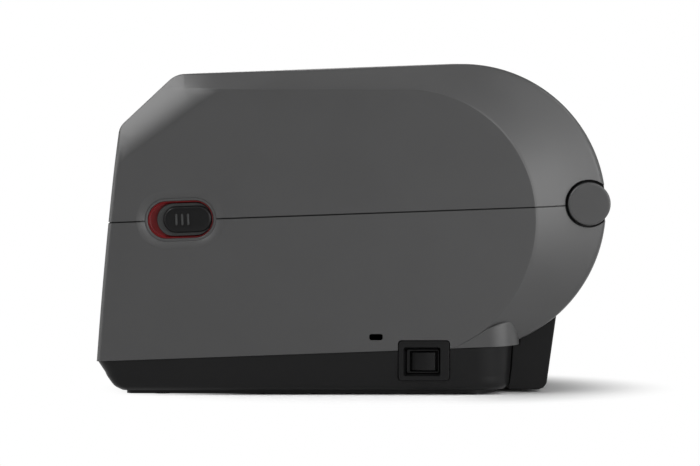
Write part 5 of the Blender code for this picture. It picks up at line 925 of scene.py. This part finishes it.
def rear_block():
    """The black block behind the base that carries the sockets."""
    plinth_y = to_world(PLINTH_REAR_U, -LOWER_DEPTH)[0] + CLEAR
    step_z = lower_edge_z(TRAY_REAR_Y) - CLEAR
    corner = (BLOCK_BACK_Y, BLOCK_LOW_Z)
    outline = drum_underside(CLEAR, BLOCK_TOP_Y, plinth_y)
    outline += [(plinth_y, step_z), (BLOCK_STEP_Y, step_z), *BLOCK_FRONT]
    outline += fillet(BLOCK_FRONT[-1], corner, (BLOCK_BACK_Y, BLOCK_BACK_Z), BLOCK_CORNER_R, 14)
    holder = holder_of(prism(outline, -BLOCK_HALF, BLOCK_HALF, "X", WORLD))
    soften(holder, 0.0008, 3, 50)
    run, rise = BLOCK_TOP_Y - BLOCK_BACK_Y, BLOCK_TOP_Z - BLOCK_BACK_Z
    face_y = BLOCK_BACK_Y + run * (SOCKET_Z - BLOCK_BACK_Z) / rise
    tools = []
    for x, width, height in SOCKETS:
        place = Matrix.Translation((x, face_y, SOCKET_Z)) @ Matrix.Rotation(-math.atan2(run, rise), 4, "X")
        half_w, half_h = width / 2 + CLEAR, height / 2 + CLEAR
        tools.append(block((-half_w, half_w), (-SOCKET_DEPTH, OVERRUN), (-half_h, half_h), place))
    piece("rear_skin", cut(baked(holder), *tools), "black", "base", "rear_panel")


# Latches


def pill_levels(rows):
    """Levels for side_stack or side_ring, from rows of (size, growth, depth below the side face)."""
    return [(pill(size[0] + 2 * by, size[1] + 2 * by), HALF_WIDTH - depth) for size, by, depth in rows]


def latch(name, side):
    """The grey ring and the red cup that stand in the side, and the slider in them."""
    place = (LATCH_U, LATCH_V)
    ring = side_ring(pill_levels(LATCH_RING), side, place)
    piece(f"latch_ring_{name}", ring, "grey", "base", sharp=40)
    cup = side_ring(pill_levels(LATCH_CUP), side, place)
    piece(f"latch_cup_{name}", cup, "red", "base", f"latch_liner_{name}", sharp=40)
    slider(name, side)


def slider(name, side):
    """The slider's plate with its stem and hook, the raised button and the three ribs on it."""
    u, v = LATCH_U + SLIDER_REST, LATCH_V
    plate = side_stack(pill_levels(SLIDER_PLATE), side, (u, v))
    button = side_stack(pill_levels(SLIDER_BUTTON), side, (u + BUTTON_SHIFT, v))
    rib_levels = [(pill(length, height, 6), HALF_WIDTH - depth) for length, height, depth in RIB_LEVELS]
    ribs = []
    for i in range(3):
        place = axis_at(u + RIB_FIRST + i * RIB_STEP, v) @ Matrix.Rotation(QUARTER_TURN, 4, "X")
        ribs.append(side_stack(rib_levels, side, at=place))
    stem_u = tuple(LATCH_U + a for a in STEM_U)
    stem = block(sorted(side * x for x in STEM_X), stem_u, (LATCH_V - STEM_HALF, LATCH_V + STEM_HALF))
    hook_outline = [(LATCH_U + a, LATCH_V + b) for a, b in HOOK_OUTLINE]
    hook = prism(hook_outline, *sorted(side * x for x in HOOK_X))
    piece(f"latch_button_{name}", button, "black", f"latch_{name}", f"latch_slider_{name}", sharp=40)
    # The ribs take the plate's lighter grey as a painted highlight; the plate's grey is its own colour.
    for part, mesh in (("plate", together(plate, stem, hook)), ("ribs", together(*ribs))):
        made = piece(f"latch_{part}_{name}", mesh, "black", f"latch_{name}", sharp=40)
        made.data.materials[0] = PLATE_GREY_AND_RIB_HIGHLIGHT


# Hinge caps


def caps():
    """The cap at each end of the hinge, and behind it a black washer: painted shade that stands for the dark gap
    round the cap.
    """
    place = axis_at(HINGE_U, HINGE_V)
    drum_room = (DRUM_R - CLEAR, HALF_WIDTH, axis_at(DRUM_U, DRUM_V), 192)
    flat = CAP_SEEN_R - CAP_EDGE_R
    profile = [(0, CAP_FACE_X), (flat - CAP_EDGE_R, CAP_FACE_X), (flat, CAP_FACE_X)]
    for i in range(1, 7):
        angle = QUARTER_TURN * i / 6
        x = CAP_FACE_X - CAP_EDGE_R * (1 - math.cos(angle))
        profile.append((flat + CAP_EDGE_R * math.sin(angle), x))
    profile += [(CAP_SEEN_R, CAP_INNER_X), (0, CAP_INNER_X)]
    disc = [
        (0, WASHER_FACE_X),
        (WASHER_R - WASHER_EDGE, WASHER_FACE_X),
        (WASHER_R, WASHER_FACE_X - WASHER_EDGE),
        (WASHER_R, WASHER_BACK_X),
        (0, WASHER_BACK_X),
    ]
    for name, side in (("left", -1), ("right", 1)):
        mesh = turned([(r, side * x) for r, x in profile], place)
        piece(f"hinge_end_{name}", mesh, "grey", "base", f"hinge_cap_{name}", sharp=50)
        # The washer is black as painted shade in the gap round the cap.
        washer = turned([(r, side * x) for r, x in disc], place)
        washer = combined(washer, "INTERSECT", barrel(*drum_room))
        piece(f"hinge_washer_{name}", washer, "black", "base", sharp=50)


# Power switch


def mouth_levels(rows):
    """Levels of the switch's opening, from rows of (width, height, corner, shift to the rear, depth)."""
    found = []
    for width, height, corner, shift, depth in rows:
        outline = [(a + shift, b - MOUTH_DROP) for a, b in rectangle(width, height, corner)]
        found.append((outline, SWITCH_FACE_X - depth))
    return found


def switch():
    """The switch's frame, and in it the bezel with its floor."""
    place = (SWITCH_Y, SWITCH_Z)
    outside = []
    for by, depth in FRAME_OUTSIDE:
        outline = rectangle(SWITCH_W + 2 * by, SWITCH_H + 2 * by, SWITCH_CORNER + by)
        outside.append((outline, SWITCH_FACE_X - depth))
    surround = side_ring(outside + mouth_levels(FRAME_MOUTH), 1, place, WORLD)
    piece("switch_surround", surround, "black", "base", "switch_frame", sharp=35)
    bezel = side_ring(mouth_levels(BEZEL), 1, place, WORLD)
    bezel_floor = side_stack(mouth_levels(BEZEL_FLOOR), 1, place, WORLD)
    piece("switch_bezel", together(bezel, bezel_floor), "black", "base", "switch_body", sharp=35)


def rocker():
    """A gently crowned rocker that tips about an upright line; its rear end is pressed in."""
    half = ROCKER_HALF
    crown = []
    for i in range(1, 20):
        a = -half + 2 * half * i / 20
        crown.append((a, CROWN_HIGH - CROWN_FALL * (abs(a) / half) ** CROWN_POWER))
    outline = [(-half, ROCKER_LOW), (-half / 2, ROCKER_BELLY), (half / 2, ROCKER_BELLY), (half, ROCKER_LOW)]
    outline += [(half, ROCKER_END), *reversed(crown), (-half, ROCKER_END)]
    turn = Matrix.Rotation(-ROCKER_TIP, 2)
    loop = [tuple(turn @ Vector((b, a))) for a, b in outline]
    pivot = Matrix.Translation((ROCKER_X, SWITCH_Y, SWITCH_Z - ROCKER_DROP))
    holder = holder_of(prism(loop, -ROCKER_HEIGHT / 2, ROCKER_HEIGHT / 2, "Z", pivot))
    soften(holder, 0.0004, 3, 40)
    piece("switch_rocker", baked(holder), "black", "rocker", "power_rocker", sharp=35)


# Nodes whose CAD shape is kept


def ribbon_frame():
    """The ribbon frame, with a blind pocket over each head spring that the spring moves into."""
    holder = holder_of(frame["nodes"]["ribbon_frame"].data.copy())
    holder.modifiers.new("weld", "WELD").merge_threshold = WELD
    soften(holder, FINE_EDGE)
    pockets = [
        prism(circle((x, SPRING_U), POCKET_R, 32), BAR_V - POCKET_MOUTH, BAR_V + POCKET_DEPTH, "Z")
        for x in (-SPRING_X, SPRING_X)
    ]
    piece("ribbon_frame_skin", cut(baked(holder), *pockets), "inner", "cover", "ribbon_frame")


def keep_nodes():
    """Gives each remaining node a fine edge and its finish."""
    for name, node in frame["nodes"].items():
        if node.hide_render:
            continue
        slot = node.data.materials[0].name.split(".")[0] if node.data.materials else "inner"
        for material_slot in node.material_slots:
            material_slot.material = LOOKS.get(slot, LOOKS["inner"])
        node.modifiers.new("weld", "WELD").merge_threshold = WELD
        if not name.startswith("head_spring"):
            soften(node, EDGE_WIDTHS.get(name, FINE_EDGE))
            node.modifiers.new("even", "WEIGHTED_NORMAL").keep_sharp = True


# Stage


def math_node(tree, operation, first, second):
    """The result of a math node on two sockets or numbers."""
    made = tree.nodes.new("ShaderNodeMath")
    made.operation = operation
    for socket, value in zip(made.inputs, (first, second)):
        if isinstance(value, (int, float)):
            socket.default_value = value
        else:
            wire(tree, value, socket)
    return made.outputs["Value"]


def eased(tree, value, start, end, low=0, high=1):
    """A value that goes smoothly from low to high while the socket goes from start to end."""
    made = tree.nodes.new("ShaderNodeMapRange")
    made.interpolation_type = "SMOOTHSTEP"
    for socket, number in (("From Min", start), ("From Max", end), ("To Min", low), ("To Max", high)):
        made.inputs[socket].default_value = number
    wire(tree, value, made.inputs["Value"])
    return made.outputs["Result"]


def mixed(tree, share, first, second):
    made = tree.nodes.new("ShaderNodeMixShader")
    wire(tree, share, made.inputs["Fac"])
    wire(tree, first, made.inputs[1])
    wire(tree, second, made.inputs[2])
    return made.outputs["Shader"]


def background_rays(tree, glossy=1.0):
    """1 for camera rays, and a share for rays that mirror or pass through to the background."""
    rays = tree.nodes.new("ShaderNodeLightPath").outputs
    most = math_node(tree, "MAXIMUM", rays["Is Glossy Ray"], rays["Is Transmission Ray"])
    return math_node(tree, "MAXIMUM", rays["Is Camera Ray"], math_node(tree, "MULTIPLY", most, glossy))


def floor():
    """A pale floor that keeps the shadow near the object, has a painted shadow behind it, and is plain white
    further off.
    """
    bm = bmesh.new()
    bmesh.ops.create_circle(bm, cap_ends=True, segments=96, radius=6)
    made = placed("floor", mesh_from(bm))
    look = bpy.data.materials.new("floor")
    look.use_nodes = True
    tree = look.node_tree
    shader = tree.nodes["Principled BSDF"]
    shader.inputs["Roughness"].default_value = 0.8
    shader.inputs["Specular IOR Level"].default_value = 0.2
    place = tree.nodes.new("ShaderNodeTexCoord").outputs["Object"]
    # Behind the object the floor's colour is darker for camera rays only, a painted shadow that deepens the cast
    # shadow; the light that the floor returns stays the same.
    parts = tree.nodes.new("ShaderNodeSeparateXYZ")
    wire(tree, place, parts.inputs[0])
    camera_ray = tree.nodes.new("ShaderNodeLightPath").outputs["Is Camera Ray"]
    looked = math_node(tree, "MULTIPLY", parts.outputs["Y"], camera_ray)
    wire(tree, eased(tree, looked, *PAINTED_SHADOW_Y, *PAINTED_SHADOW_COLOURS), shader.inputs["Base Color"])
    squeezed = tree.nodes.new("ShaderNodeVectorMath")
    squeezed.operation = "MULTIPLY_ADD"
    squeezed.inputs[1].default_value = FADE_SQUEEZE
    squeezed.inputs[2].default_value = FADE_SHIFT
    wire(tree, place, squeezed.inputs[0])
    reach = tree.nodes.new("ShaderNodeVectorMath")
    reach.operation = "LENGTH"
    wire(tree, squeezed.outputs["Vector"], reach.inputs[0])
    fade = eased(tree, reach.outputs["Value"], *FADE_REACH)
    share = math_node(tree, "MULTIPLY", fade, background_rays(tree))
    glow = tree.nodes.new("ShaderNodeEmission").outputs["Emission"]
    result = mixed(tree, share, shader.outputs["BSDF"], glow)
    wire(tree, result, tree.nodes["Material Output"].inputs["Surface"])
    made.data.materials.append(look)


def world():
    """A white background for the camera, and a dim light from all sides."""
    made = bpy.data.worlds.new("studio")
    made.use_nodes = True
    bpy.context.scene.world = made
    tree = made.node_tree
    dim, bright = tree.nodes["Background"], tree.nodes.new("ShaderNodeBackground")
    for background in (dim, bright):
        background.inputs["Color"].default_value = (1, 1, 1, 1)
    dim.inputs["Strength"].default_value = DIM_STRENGTH
    share = background_rays(tree, MIRRORED_WHITE)
    result = mixed(tree, share, dim.outputs["Background"], bright.outputs["Background"])
    wire(tree, result, tree.nodes["World Output"].inputs["Surface"])


def softbox(name, place, target, width, height, power):
    light = bpy.data.lights.new(name, "AREA")
    light.shape = "RECTANGLE"
    light.size, light.size_y = width, height
    light.energy = power
    made = placed(name, light)
    made.location = place
    made.rotation_mode = "QUATERNION"
    made.rotation_quaternion = (Vector(target) - Vector(place)).to_track_quat("-Z", "Y")


def camera():
    """Square to the right side and a little above it, from far off, as in the photo."""
    back = Vector((math.cos(CAMERA_RISE), 0, math.sin(CAMERA_RISE)))
    data = bpy.data.cameras.new("camera")
    data.lens = 200
    data.sensor_width = 36
    data.clip_start, data.clip_end = 0.05, 50
    made = placed("camera", data)
    made.location = Vector(CAMERA_TARGET) + back * CAMERA_DISTANCE
    made.rotation_mode = "QUATERNION"
    made.rotation_quaternion = (-back).to_track_quat("-Z", "Y")
    bpy.context.scene.camera = made


camera()
cover()
housing()
base()
rear_block()
for latch_name, latch_side in (("left", -1), ("right", 1)):
    latch(latch_name, latch_side)
caps()
switch()
rocker()
ribbon_frame()
keep_nodes()
floor()
world()
for row in LIGHTS:
    softbox(*row)
bpy.context.scene.view_settings.view_transform = "Standard"
